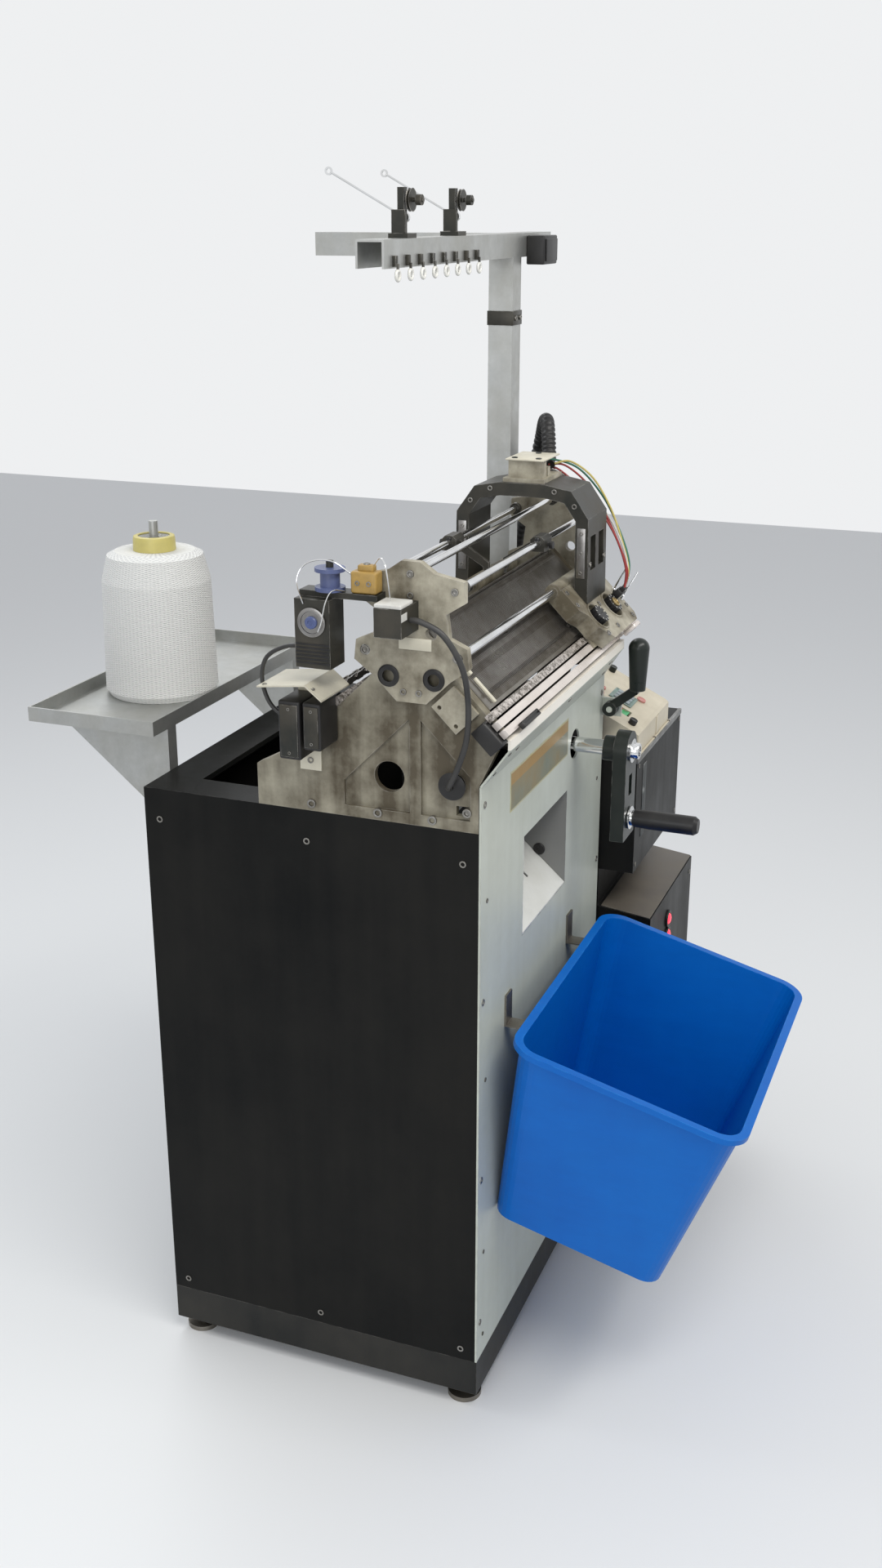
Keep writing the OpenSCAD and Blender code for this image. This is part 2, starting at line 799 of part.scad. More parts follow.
module yarn_feeder_1() {
    yarn_feeder(feeder_rods_at[0], feeder_1_x, 1);
}

module yarn_feeder_2() {
    yarn_feeder(feeder_rods_at[2], feeder_2_x, -1);
}

// Outline of a carriage casting seen square to its slope: straight back, stepped front edge
module carriage_outline() {
    polygon([
        [0, -guide_u - 6], [0, -112], [16, -128], [16, -150], [40, -178], [carriage_l - 12, -178],
        [carriage_l, -166], [carriage_l, -guide_u - 6]
    ]);
}

// One carriage casting: plate, runner shoe on the slide bars and a bushing on the guide rod
module carriage_casting() {
    translate([carriage_x, 0, plate_n]) linear_extrude(carriage_t) carriage_outline();
    translate([carriage_x + 20, -rail_start - rail_w - rail_step, carriage_n])
        cube([carriage_l - 40, rail_w + rail_step, plate_n - carriage_n + cut]);
    translate([carriage_x, -guide_u, guide_n]) rotate([0, 90, 0]) cylinder(r = 12.5, h = carriage_l);
}

module guide_bore() {
    translate([carriage_x - cut, -guide_u, guide_n])
        rotate([0, 90, 0]) cylinder(r = guide_r + run_fit, h = carriage_l + 2 * cut);
}

// Front carriage casting with two round wells for the stitch knobs
module carriage_front() {
    color("#d3cba9")
        machine()
            front_slope()
                difference() {
                    carriage_casting();
                    guide_bore();
                    for (p = knob_places)
                        translate([carriage_x + p[0], -p[1], plate_top - 8]) {
                            cylinder(r = knob_r + 6, h = 8 + cut);
                            translate([0, 0, -10]) cylinder(r = 5 + run_fit, h = 12);
                        }
                }
}

// Rear carriage casting with the drive arm that reaches back to the chain pin
module carriage_rear() {
    foot = rear_side(on_slope(150, plate_top));
    arm_x = carriage_x + carriage_l / 2 - 14;
    color("#8e8972")
        machine() {
            rear_slope()
                difference() {
                    carriage_casting();
                    guide_bore();
                }
            difference() {
                along_x(arm_x, 28)
                    polygon([
                        [foot[0] - 20, foot[1] + 16], [foot[0] - 4, foot[1] + 26],
                        [slot_y + slot_t, foot[1] + 10],
                        [slot_y + slot_t, sprocket_z - sprocket_r - 14],
                        [slot_y, sprocket_z - sprocket_r - 14], [slot_y, foot[1] - 4],
                        [foot[0] - 8, foot[1] - 4]
                    ]);
                translate([arm_x + 8, slot_y - cut, sprocket_z - sprocket_r - 8])
                    cube([12, slot_t + 2 * cut, 2 * sprocket_r + 18]);
            }
        }
}

// Arched bridge that ties the two castings together over the rods
module carriage_bridge() {
    foot_out = on_slope(112, plate_top);
    foot_in = on_slope(82, plate_top);
    outer = [foot_out, [foot_out[0] + 2, 1296], [18, 1336], [60, 1344]];
    inner = [foot_in, [foot_in[0] + 1, 1292], [28, 1318], [60, 1324]];
    outline = concat(
        outer,
        [for (i = [len(outer) - 1 : -1 : 0]) rear_side(outer[i])],
        [for (i = [0 : len(inner) - 1]) rear_side(inner[i])],
        [for (i = [len(inner) - 1 : -1 : 0]) inner[i]]
    );
    color("#2f3330")
        machine()
            difference() {
                along_x(bridge_x, bridge_l) polygon(outline);
                translate([bridge_x + bridge_l / 2, throat_y, 1310]) cylinder(r = 10, h = 50);
                for (s = [0, 1])
                    translate([bridge_x + 14 + s * (bridge_l - 56), foot_out[0] - 20, 1216])
                        cube([28, 42, 52]);
            }
}

// Selector unit on the bridge: magnet block, cream top plate and terminal strip
module selector_unit() {
    top = 1344;
    color("#c9c3a6")
        machine()
            difference() {
                union() {
                    translate([bridge_x + 6, 62, top]) cube([bridge_l - 12, 66, 6]);
                    translate([bridge_x + 14, 68, top + 6]) cube([20, 54, 26]);
                    translate([bridge_x + 42, 68, top + 6]) cube([12, 54, 14]);
                }
                translate([bridge_x + bridge_l - 28, throat_y, top - cut]) cylinder(r = 7, h = 10);
            }
}

// Round knob with a fluted rim, a shaft and a pointer slot
module stitch_knob(p) {
    color("#1b1b1c")
        machine()
            front_slope()
                translate([carriage_x + p[0], -p[1], plate_top - 8 + seat_gap])
                    difference() {
                        union() {
                            cylinder(r = knob_r, h = 16);
                            translate([0, 0, -9]) cylinder(r = 5, h = 10);
                        }
                        for (i = [0 : 11])
                            rotate(i * 30)
                                translate([knob_r + 1, 0, 2]) cylinder(r = 2.4, h = 20, $fn = 16);
                        translate([-knob_r, -1.2, 14]) cube([2 * knob_r, 2.4, 4]);
                    }
}

module stitch_knob_left() {
    stitch_knob(knob_places[0]);
}

module stitch_knob_right() {
    stitch_knob(knob_places[1]);
}

// Ring of points round one station of a swept tube, square to the run there
function ring_points(route, i, r, sides) =
    let (
        a = route[max(i - 1, 0)],
        b = route[min(i + 1, len(route) - 1)],
        d = (b - a) / norm(b - a),
        s = cross(d, [0, 1, 0]) / norm(cross(d, [0, 1, 0])),
        t = cross(s, d)
    )
    [for (k = [0 : sides - 1])
        route[i] + r * cos(360 * k / sides) * s + r * sin(360 * k / sides) * t];

// Round tube swept through the points of a route
module swept_tube(route, r, sides) {
    n = len(route);
    points = [for (i = [0 : n - 1]) each ring_points(route, i, r, sides)];
    walls = [
        for (i = [0 : n - 2])
            for (k = [0 : sides - 1])
                let (a = i * sides + k, b = i * sides + (k + 1) % sides)
                each [[a, b, a + sides], [b, b + sides, a + sides]]
    ];
    first = [[for (k = [sides - 1 : -1 : 0]) k]];
    last = [[for (k = [0 : sides - 1]) (n - 1) * sides + k]];
    polyhedron(points = points, faces = concat(walls, first, last));
}

// Flexible conduit from the control box up and over to the carriage bridge
module conduits() {
    color("#161617")
        machine() {
            swept_tube(conduit_route, conduit_r, 10);
            swept_tube(lead_route, lead_r, 10);
            swept_tube(sensor_route, sensor_lead_r, 10);
        }
}

// Cross plate between the end frames that carries the crank shaft and the chain shafts
module drive_plate() {
    color("#55574f")
        machine()
            difference() {
                union() {
                    along_y(plate_y, plate_t)
                        polygon([
                            [frame_t, deck_z], [crank_x - 50, deck_z], [crank_x - 34, deck_z - 44],
                            [crank_x + 34, deck_z - 44], [crank_x + 50, deck_z],
                            [body_w - frame_t, deck_z], [body_w - frame_t, 1048], [frame_t, 1048]
                        ]);
                    translate([crank_x, 40, crank_z])
                        rotate([-90, 0, 0]) cylinder(r = housing_r, h = plate_y - 40 + cut);
                    for (x = [sprocket_x, idler_x])
                        translate([x, plate_y - 24, sprocket_z])
                            rotate([-90, 0, 0]) cylinder(r = 20, h = 26);
                }
                translate([crank_x, 40 - cut, crank_z])
                    rotate([-90, 0, 0]) cylinder(r = shaft_r + run_fit, h = plate_y + plate_t);
                for (x = [sprocket_x, idler_x])
                    translate([x, plate_y - 25, sprocket_z])
                        rotate([-90, 0, 0]) cylinder(r = 10 + run_fit, h = 40);
            }
}

// Crank shaft through the plate's long bearing housing
module main_shaft() {
    color("#b8b9ba")
        machine()
            translate([crank_x, arm_y - arm_t, crank_z])
                rotate([-90, 0, 0]) {
                    cylinder(r = shaft_r, h = gear_y + gear_w + 4 - arm_y + arm_t);
                    translate([0, 0, -8]) cylinder(r = 9, h = 9, $fn = 6);
                }
}

module crank_gear() {
    color("#8f9092")
        machine()
            translate([crank_x, 0, crank_z])
                rotate([0, -slope, 0])
                    along_y(gear_y, gear_w)
                        difference() {
                            rotate(180 / crank_teeth) gear_outline(crank_teeth, gear_m);
                            circle(shaft_bore_r);
                        }
}

// Large gear with a web, driven by the crank gear
module sprocket_gear() {
    color("#97989a")
        machine()
            translate([sprocket_x, 0, sprocket_z])
                rotate([0, -slope, 0])
                    difference() {
                        along_y(gear_y, gear_w)
                            difference() {
                                gear_outline(sprocket_gear_teeth, gear_m);
                                circle(10 + run_fit);
                                for (i = [0 : 4])
                                    rotate(i * 72) translate([40, 0]) circle(13);
                            }
                    }
}

// Right chain sprocket with its hub and shaft
module drive_sprocket() {
    color("#7d7e80")
        machine()
            translate([sprocket_x, 0, sprocket_z]) {
                along_y(chain_y + wheel_inset, chain_w - 2 * wheel_inset) sprocket_outline();
                translate([0, plate_y - 26, 0])
                    rotate([-90, 0, 0]) cylinder(r = 10, h = chain_y + chain_w - plate_y + 28);
                translate([0, gear_y + gear_w + 0.5, 0])
                    rotate([-90, 0, 0]) cylinder(r = 18, h = chain_y - gear_y - gear_w + wheel_inset);
            }
}

// Left chain sprocket with its hub and shaft
module idler_sprocket() {
    color("#7d7e80")
        machine()
            translate([idler_x, 0, sprocket_z]) {
                along_y(chain_y + wheel_inset, chain_w - 2 * wheel_inset) sprocket_outline();
                translate([0, plate_y - 26, 0])
                    rotate([-90, 0, 0]) cylinder(r = 10, h = chain_y + chain_w - plate_y + 28);
                translate([0, plate_y + plate_t + 0.5, 0])
                    rotate([-90, 0, 0]) cylinder(r = 18, h = chain_y - plate_y - plate_t + wheel_inset);
            }
}

// One chain link: two side plates and a roller, from one pitch point to the next
module chain_link(outer, pin_r) {
    plate_r = chain_pitch * 0.3;
    side_t = 1.4;
    offset_y = outer ? 0 : side_t + 0.3;
    for (y = [offset_y, chain_w - offset_y - side_t])
        along_y(y, side_t)
            polygon([
                [-plate_r * 0.8, 0], [0, -plate_r], [chain_pitch, -plate_r],
                [chain_pitch + plate_r * 0.8, 0], [chain_pitch, plate_r], [0, plate_r]
            ]);
    along_y(0.5, chain_w - 1) circle(pin_r, $fn = 8);
}

// Start point and turn of one link, counted clockwise from the left end of the top run
function link_place(k) =
    let (
        runs = round(chain_span / chain_pitch),
        half = sprocket_teeth / 2,
        step = 360 / sprocket_teeth,
        turn = k < runs + half ? (k - runs) * step : 180 + (k - 2 * runs - half) * step
    )
    k < runs ? [idler_x + k * chain_pitch, sprocket_r, 0]
    : k < runs + half
        ? [sprocket_x + sprocket_r * sin(turn), sprocket_r * cos(turn), turn + step / 2]
    : k < 2 * runs + half
        ? [sprocket_x - (k - runs - half) * chain_pitch, -sprocket_r, 180]
    : [idler_x + sprocket_r * sin(turn), sprocket_r * cos(turn), turn + step / 2];

// Roller chain round both sprockets, with the drive pin that takes the carriage along
function on_wheel(k) =
    let (runs = round(chain_span / chain_pitch), half = sprocket_teeth / 2)
    k == 0 || (k >= runs && k <= runs + half) || k >= 2 * runs + half;

module drive_chain() {
    link_count = 2 * round(chain_span / chain_pitch) + sprocket_teeth;
    color("#3b3a36")
        machine()
            translate([0, chain_y, sprocket_z]) {
                for (k = [0 : link_count - 1])
                    translate([link_place(k)[0], 0, link_place(k)[1]])
                        rotate([0, link_place(k)[2], 0])
                            chain_link(k % 2 == 0, on_wheel(k) ? wheel_pin_r : chain_pitch * 0.2);
                translate([carriage_x + carriage_l / 2, chain_w - 1, sprocket_r])
                    rotate([-90, 0, 0]) cylinder(r = 4, h = 5);
            }
}

// Large pulley with a shallow belt channel
module driven_pulley() {
    color("#5c5e60")
        machine()
            translate([crank_x, pulley_y, crank_z])
                rotate([-90, 0, 0])
                    difference() {
                        rotate_extrude($fn = 72)
                            polygon([
                                [shaft_bore_r, 0], [pulley_r + 4, 0], [pulley_r + 4, 2],
                                [pulley_r, 4], [pulley_r, pulley_w - 4],
                                [pulley_r + 4, pulley_w - 2], [pulley_r + 4, pulley_w],
                                [shaft_bore_r, pulley_w]
                            ]);
                        for (i = [0 : 5])
                            rotate(i * 60)
                                translate([34, 0, -cut]) cylinder(r = 9, h = pulley_w + 2 * cut);
                    }
}

// Motor pulley fixed on the motor's shaft
module motor_pulley() {
    color("#5c5e60")
        machine()
            translate([motor_x, pulley_y, motor_z])
                rotate([-90, 0, 0])
                    rotate_extrude($fn = 72)
                        polygon([
                            [10 + run_fit, 0], [motor_pulley_r + 4, 0], [motor_pulley_r + 4, 2],
                            [motor_pulley_r, 4], [motor_pulley_r, pulley_w - 4],
                            [motor_pulley_r + 4, pulley_w - 2], [motor_pulley_r + 4, pulley_w],
                            [10 + run_fit, pulley_w]
                        ]);
}

// Flat belt round both pulleys
module drive_belt() {
    belt_t = 3;
    color("#1a1a1a")
        machine()
            along_y(pulley_y + 5, pulley_w - 10)
                difference() {
                    hull() {
                        translate([crank_x, crank_z]) circle(pulley_r + seat_gap + belt_t, $fn = 48);
                        translate([motor_x, motor_z])
                            circle(motor_pulley_r + seat_gap + belt_t, $fn = 32);
                    }
                    hull() {
                        translate([crank_x, crank_z]) circle(pulley_r + seat_gap, $fn = 48);
                        translate([motor_x, motor_z]) circle(motor_pulley_r + seat_gap, $fn = 32);
                    }
                }
}

// Foot-mounted motor with cooling ribs, a terminal box and its shaft
module drive_motor() {
    motor_y = pulley_y - 12 - motor_l;
    color("#3c4746")
        machine()
            translate([motor_x, motor_y, motor_z]) {
                rotate([-90, 0, 0]) {
                    cylinder(r = motor_r - 6, h = motor_l);
                    cylinder(r = motor_r, h = 16);
                    translate([0, 0, motor_l - 16]) cylinder(r = motor_r, h = 16);
                    cylinder(r = 10, h = motor_l + 12 + pulley_w);
                    for (i = [0 : 17])
                        rotate(i * 20) translate([motor_r - 8, -1.5, 14]) cube([6, 3, motor_l - 28]);
                }
                for (y = [16, motor_l - 46])
                    translate([-70, y, -motor_r - 30]) {
                        cube([140, 30, 12]);
                        translate([40, 0, 12]) cube([60, 30, 30]);
                    }
                translate([-30, 50, motor_r - 10]) cube([60, 80, 40]);
            }
}

// Black crank arm with a rounded head, a clamped hub and the pin of the grip
module crank_arm() {
    head_r = 31;
    low = crank_throw + 32;
    color("#161717")
        machine()
            translate([crank_x, arm_y - arm_t, crank_z])
                difference() {
                    union() {
                        along_y(0, arm_t) {
                            circle(head_r);
                            translate([-head_r, -low]) square([2 * head_r, low]);
                        }
                        rotate([-90, 0, 0]) cylinder(r = 20, h = crank_hub_l);
                    }
                    translate([0, -cut, 0]) rotate([-90, 0, 0]) cylinder(r = shaft_bore_r, h = 90);
                    translate([0, -cut, -crank_throw])
                        rotate([-90, 0, 0]) cylinder(r = 6 + run_fit, h = arm_t + 2 * cut);
                    translate([-9, -cut, -crank_throw + 38]) cube([18, 8, 34]);
                }
}

// Rotating black grip on a steel pin with a washer
module crank_grip() {
    color("#111212")
        machine()
            translate([crank_x, arm_y - arm_t, crank_z - crank_throw])
                rotate([90, 0, 0]) {
                    translate([0, 0, -arm_t]) cylinder(r = 6, h = arm_t + 3);
                    translate([0, 0, seat_gap]) cylinder(r = 12, h = 6);
                    translate([0, 0, 6])
                        rotate_extrude()
                            polygon([
                                [0, 0], [grip_r - 3, 0], [grip_r - 1, 4], [grip_r, 30],
                                [grip_r, grip_l - 6], [grip_r - 4, grip_l], [0, grip_l]
                            ]);
                }
}

// Upright clutch lever with a rounded grip, pivoted on a stud in front of the cover
module clutch_lever() {
    color("#1f2d27")
        machine()
            difference() {
                union() {
                    translate([lever_x, lever_pivot_y, lever_pivot_z])
                        rotate([0, 90, 0]) cylinder(r = 12, h = lever_hub_l);
                    along_x(lever_x + 3, 10)
                        polygon([
                            [-24, lever_pivot_z], [-62, 990], [-62, 1010], [-48, 1010], [-48, 998],
                            [-12, lever_pivot_z + 10]
                        ]);
                    translate([lever_x + 8, -60, lever_top_z - 70])
                        cylinder(r1 = 13, r2 = 17, h = 70, $fn = 32);
                    translate([lever_x + 8, -60, lever_top_z]) sphere(r = 17, $fn = 32);
                }
                translate([lever_x - cut, lever_pivot_y, lever_pivot_z])
                    rotate([0, 90, 0]) cylinder(r = lever_pin_r + run_fit, h = 20);
            }
}

// Upper control box, open at its right side where the door closes it
module control_box() {
    color("#191b1c")
        machine() {
            for (z = [box_low + 40, box_top - 70]) {
                translate([hinge_x, hinge_y, z - 10]) cylinder(r = hinge_pin_r, h = 50);
                for (lug_z = [z - 10, z + 30 + seat_gap]) {
                    translate([hinge_x, hinge_y, lug_z]) cylinder(r = hinge_r, h = 10 - seat_gap);
                    translate([box_x + box_w - 5, hinge_y - 1.5, lug_z])
                        cube([hinge_x - box_x - box_w + 5, 3, 10 - seat_gap]);
                }
            }
            difference() {
                translate([box_x, box_y, box_low]) cube([box_w - sheet_t, box_d, box_top - box_low]);
                translate([box_x + box_inner, box_y + box_inner, box_low + box_inner])
                    cube([box_w, box_d - 2 * box_inner, box_top - box_low - 2 * box_inner]);
                translate([700, 225, box_top - 10]) cylinder(r = 9, h = 20);
            }
        }
}

// Right side door of the control box with a round lock and a bent edge
module control_box_door() {
    door_l = box_d - 8;
    door_h = box_top - box_low - 6;
    color("#1c1e1f")
        machine() {
            difference() {
                union() {
                    translate([door_x, box_y + 4, box_low + 3])
                        cube([sheet_t - seat_gap, door_l, door_h]);
                    for (z = [box_low + 40, box_top - 70])
                        translate([hinge_x, hinge_y, z]) cylinder(r = hinge_r, h = 30);
                }
                for (z = [box_low + 40, box_top - 70])
                    translate([hinge_x, hinge_y, z - cut])
                        cylinder(r = hinge_pin_r + run_fit, h = 30 + 2 * cut);
                for (z = [box_low + 30, box_low + 70, box_top - 80, box_top - 40])
                    translate([hinge_x - 10, hinge_y - 5, z - seat_gap]) cube([20, 10, 10 + seat_gap]);
            }
            translate([door_x, box_y + 95, box_low + 95])
                rotate([0, 90, 0]) cylinder(r = 9, h = sheet_t - seat_gap + lock_reach);
        }
}

// Beige housing with a sloping panel, and the open tray behind it
module panel_housing() {
    front_h = 36;
    rear_h = 98;
    color("#c8bd9d")
        machine() {
            difference() {
                along_x(panel_x, panel_w)
                    polygon([
                        [panel_y, box_top], [panel_y, box_top + front_h],
                        [panel_y + 6, box_top + front_h + 5],
                        [panel_y + panel_d - 26, box_top + rear_h],
                        [panel_y + panel_d, box_top + rear_h - 8], [panel_y + panel_d, box_top]
                    ]);
                translate([rocker_x - 12 - seat_gap, panel_y + 30, box_top + 20])
                    cube([24 + 2 * seat_gap, 34, 60]);
            }
            along_x(rocker_x - 14, 28) translate([rocker_y, rocker_z]) circle(rocker_pin_r, $fn = 24);
            difference() {
                translate([tray_x, panel_y + panel_d, box_top]) cube([130, 84, 46]);
                translate([tray_x + 3, panel_y + panel_d + 3, box_top + 3]) cube([124, 78, 46]);
            }
        }
}

// Rocker switch, green at one end and red at the other
module rocker_switch() {
    color("#2fae4e")
        machine()
            translate([rocker_x, rocker_y, rocker_z])
                rotate([27, 0, 0])
                    rotate([90, 0, 90])
                        translate([0, 0, -12])
                            linear_extrude(24)
                                difference() {
                                    polygon([[-9, -8], [-9, 12], [0, 9], [9, 12], [9, -8]]);
                                    circle(rocker_pin_r + run_fit, $fn = 24);
                                }
}

// Lower control cabinet with a step where the box above stands back
module control_cabinet() {
    rear_y = box_y + box_d;
    color("#17191b")
        machine()
            difference() {
                along_x(box_x, box_w)
                    polygon([
                        [0, base_top], [rear_y, base_top], [rear_y, box_low], [0, box_low],
                        [0, cabinet_step_z + 12], [-cabinet_reach, cabinet_step_z],
                        [-cabinet_reach, base_top + 20], [0, base_top + 20]
                    ]);
                translate([box_x + box_w - 6, 110, 408]) cube([7, 48, 52]);
                for (z = [498, 530])
                    translate([box_x + 120, -cabinet_reach - cut, z - 12]) cube([20, 3 + cut, 24]);
            }
}

// Circuit breaker behind the window in the cabinet's side
module breaker() {
    color("#c4c8c8")
        machine() {
            translate([box_x + box_w - 6, 111, 409]) cube([4, 46, 50]);
            translate([box_x + box_w - 2, 122, 428]) cube([3, 24, 14]);
        }
}

// Square tube pole on a foot plate, with the clamp that ties it to the rail bracket
module stand_pole() {
    color("#8d9190")
        machine()
            difference() {
                union() {
                    translate([pole_x, pole_y, box_top]) cube([pole_w, pole_w, pole_top - box_top]);
                    translate([pole_x - 4, pole_y - 20, box_top]) cube([pole_w + 24, pole_w + 40, 6]);
                }
                translate([pole_x + pole_tube_t, pole_y + pole_tube_t, box_top + 6])
                    cube([pole_w - 2 * pole_tube_t, pole_w - 2 * pole_tube_t, pole_top - box_top]);
            }
}

// Channel beam along the machine with a cross bar to the rear
module stand_beam() {
    color("#9a9e9c")
        machine() {
            difference() {
                union() {
                    translate([beam_x, beam_y, pole_top]) cube([beam_l, pole_w, beam_h]);
                    translate([pole_x, beam_y + pole_w, pole_top]) cube([pole_w, cross_l, beam_h]);
                }
                translate([beam_x - cut, beam_y + 3, pole_top - cut])
                    cube([beam_l + 2 * cut, pole_w - 6, beam_h - 2]);
                translate([pole_x + 3, beam_y + pole_w - 6, pole_top - cut])
                    cube([pole_w - 6, cross_l + 7, beam_h - 2]);
            }
        }
}

// Yarn tension units on the beam: a post, two discs on a spindle and a wire guide plate each
module tension_units() {
    color("#7b7e80")
        machine()
            for (x = unit_x) {
                translate([x - 16, beam_y + 6, beam_top]) cube([32, 28, 6]);
                translate([x - 5, beam_y + 15, beam_top + 6]) cube([10, 10, 58]);
                translate([x, beam_y + 15, beam_top + 48])
                    rotate([90, 0, 0]) {
                        cylinder(r = 3, h = 26);
                        translate([0, 0, 6]) cylinder(r1 = 15, r2 = 12, h = 2);
                        translate([0, 0, 8.4]) cylinder(r1 = 12, r2 = 15, h = 2);
                        translate([0, 0, 16]) cylinder(r = 7, h = 8);
                    }
                translate([x - 14, beam_y + 10, beam_top + 6]) cube([6, 20, 30]);
                translate([x + 4, beam_y + 20, beam_top + 26])
                    rotate([0, 90, 0]) cylinder(r = takeup_pin_r, h = 10);
            }
}

// Sprung take-up arm: a hub beside the post and a long wire with an eye
module takeup_arm(x) {
    color("#c5c8ca")
        machine()
            translate([x + 5 + seat_gap, beam_y + 20, beam_top + 26]) {
                rotate([0, 90, 0])
                    difference() {
                        cylinder(r = 7, h = 6);
                        translate([0, 0, -cut]) cylinder(r = takeup_pin_r + run_fit, h = 6 + 2 * cut);
                    }
                translate([3, 0, 0])
                    rotate([-62, 0, 0]) {
                        translate([0, 0, 5]) cylinder(r = 1.5, h = 116, $fn = 16);
                        translate([-1.2, 0, 125])
                            rotate([0, 90, 0])
                                difference() {
                                    cylinder(r = 5.5, h = 2.4, $fn = 24);
                                    translate([0, 0, -cut]) cylinder(r = 3, h = 5, $fn = 24);
                                }
                    }
            }
}

module takeup_arm_1() {
    takeup_arm(unit_x[0]);
}

module takeup_arm_2() {
    takeup_arm(unit_x[1]);
}

// Folded yarn tray behind the cabinet with a raised edge, two struts and a peg
module yarn_tray() {
    y0 = base_depth + sheet_t;
    color("#8a9092")
        machine() {
            difference() {
                translate([40, y0, tray_z]) cube([body_w - 80, tray_d, 22]);
                translate([43, y0 + 3, tray_z + 3]) cube([body_w - 86, tray_d - 6, 30]);
            }
            for (x = [80, body_w - 104])
                along_x(x, 24)
                    polygon([
                        [y0, tray_z], [y0, tray_z - 150], [y0 + 4, tray_z - 150],
                        [y0 + tray_d - 30, tray_z]
                    ]);
            translate([cone_x, cone_y, tray_z + 3]) {
                cylinder(r = peg_r, h = cone_h + 21);
                cylinder(r = peg_r - 1, h = cone_h + 45);
            }
        }
}

// Full yarn cone on its paper tube
module yarn_cone() {
    foot_z = tray_z + 3 + seat_gap;
    color("#e9e8e2")
        machine()
            translate([cone_x, cone_y, foot_z])
                rotate_extrude($fn = 48)
                    polygon([
                        [20, 0], [cone_r - 6, 0], [cone_r, 10], [cone_r - 4, cone_h * 0.8],
                        [cone_r - 14, cone_h - 6], [cone_r - 26, cone_h], [32, cone_h],
                        [30, cone_h + 20], [24, cone_h + 20], [20, cone_h]
                    ]);
}

// Folded cream cover with a ridge over the left rear end, on a web against the left end frame
module drive_cover() {
    skin = 2;
    ridge = [throat_y + 127, throat_z - 67];
    front = [ridge[0] - 24, ridge[1] - 19];
    rear = [ridge[0] + 70, ridge[1] - 8];
    web_w = 32;
    web_h = 142;
    color("#d8d4b8")
        machine() {
            along_x(cover_x, cover_l)
                polygon([
                    front, ridge, rear, [rear[0], rear[1] - skin], [ridge[0], ridge[1] - skin],
                    [front[0], front[1] - skin]
                ]);
            translate([-skin, ridge[0] + 11, ridge[1] - web_h])
                cube([skin, web_w, web_h - 5]);
        }
}

// Elastic thread feed on the left bracket: bracket, motor block and junction box
module elastic_feed_unit() {
    color("#3a3b3b")
        machine() {
            translate([feed_x + 30, 130, 1262]) cube([feed_reach - 30, 110, 8]);
            translate([feed_x + 14, 190, 1170]) cube([44, 50, 92]);
            translate([feed_x, 84, 1224]) cube([feed_reach, 38, 38]);
            translate([feed_x + 40, 200, 1265]) cylinder(r = roller_pin_r, h = 44);
        }
}

module elastic_feed_roller() {
    color("#55607e")
        machine()
            translate([feed_x + 40, 200, 1270 + seat_gap])
                difference() {
                    union() {
                        cylinder(r = 20, h = 5);
                        cylinder(r = 13, h = 30);
                        translate([0, 0, 25]) cylinder(r = 20, h = 5);
                    }
                    translate([0, 0, -cut]) cylinder(r = roller_pin_r + run_fit, h = 40);
                }
}

base_frame();
levelling_feet();
lower_cabinet();
rear_cover();
front_cover();
glove_chute();
bin_hooks();
glove_bin();
left_end_frame();
right_end_frame();
front_needle_bed();
rear_needle_bed();
front_needles();
rear_needles();
bed_end_plates();
front_rails();
rear_rails();
left_rail_bracket();
right_rail_bracket();
guide_rods();
feeder_rods();
yarn_feeder_1();
yarn_feeder_2();
carriage_front();
carriage_rear();
carriage_bridge();
selector_unit();
stitch_knob_left();
stitch_knob_right();
conduits();
drive_plate();
drive_chain();
drive_sprocket();
sprocket_gear();
idler_sprocket();
main_shaft();
crank_gear();
driven_pulley();
drive_belt();
motor_pulley();
drive_motor();
crank_arm();
crank_grip();
clutch_lever();
control_box();
control_box_door();
panel_housing();
rocker_switch();
control_cabinet();
breaker();
stand_pole();
stand_beam();
tension_units();
takeup_arm_1();
takeup_arm_2();
yarn_tray();
yarn_cone();
drive_cover();
elastic_feed_unit();
elastic_feed_roller();
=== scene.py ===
# %% [markdown]
# This lesson dresses the CAD model of a glove knitting machine. The imported model is loaded as a fixed frame:
# its nodes keep their shape and place, and every piece that is added here, save the corrugated conduit, rides on one of
# its bodies.

# %% Load the frame
import json
import math
import bpy
from mathutils import Vector, Matrix


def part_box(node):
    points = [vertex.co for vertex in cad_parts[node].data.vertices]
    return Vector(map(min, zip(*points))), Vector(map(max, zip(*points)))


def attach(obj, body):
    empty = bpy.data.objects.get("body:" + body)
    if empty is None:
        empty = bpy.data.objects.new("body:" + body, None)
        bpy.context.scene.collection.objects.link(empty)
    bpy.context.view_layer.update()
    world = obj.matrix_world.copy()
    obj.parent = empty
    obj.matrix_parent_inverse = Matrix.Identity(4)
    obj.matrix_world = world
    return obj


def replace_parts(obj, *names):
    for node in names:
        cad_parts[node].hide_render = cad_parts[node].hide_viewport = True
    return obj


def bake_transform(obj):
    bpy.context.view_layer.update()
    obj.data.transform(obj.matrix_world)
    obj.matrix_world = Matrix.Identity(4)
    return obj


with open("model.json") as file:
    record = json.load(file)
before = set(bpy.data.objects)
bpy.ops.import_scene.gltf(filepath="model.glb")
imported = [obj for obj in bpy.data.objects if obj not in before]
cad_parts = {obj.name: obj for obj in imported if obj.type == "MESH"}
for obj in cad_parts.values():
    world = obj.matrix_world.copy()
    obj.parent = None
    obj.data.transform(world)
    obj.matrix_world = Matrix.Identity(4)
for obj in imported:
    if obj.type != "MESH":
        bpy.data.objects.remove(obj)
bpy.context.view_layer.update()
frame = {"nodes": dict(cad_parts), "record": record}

nodes = frame["nodes"]

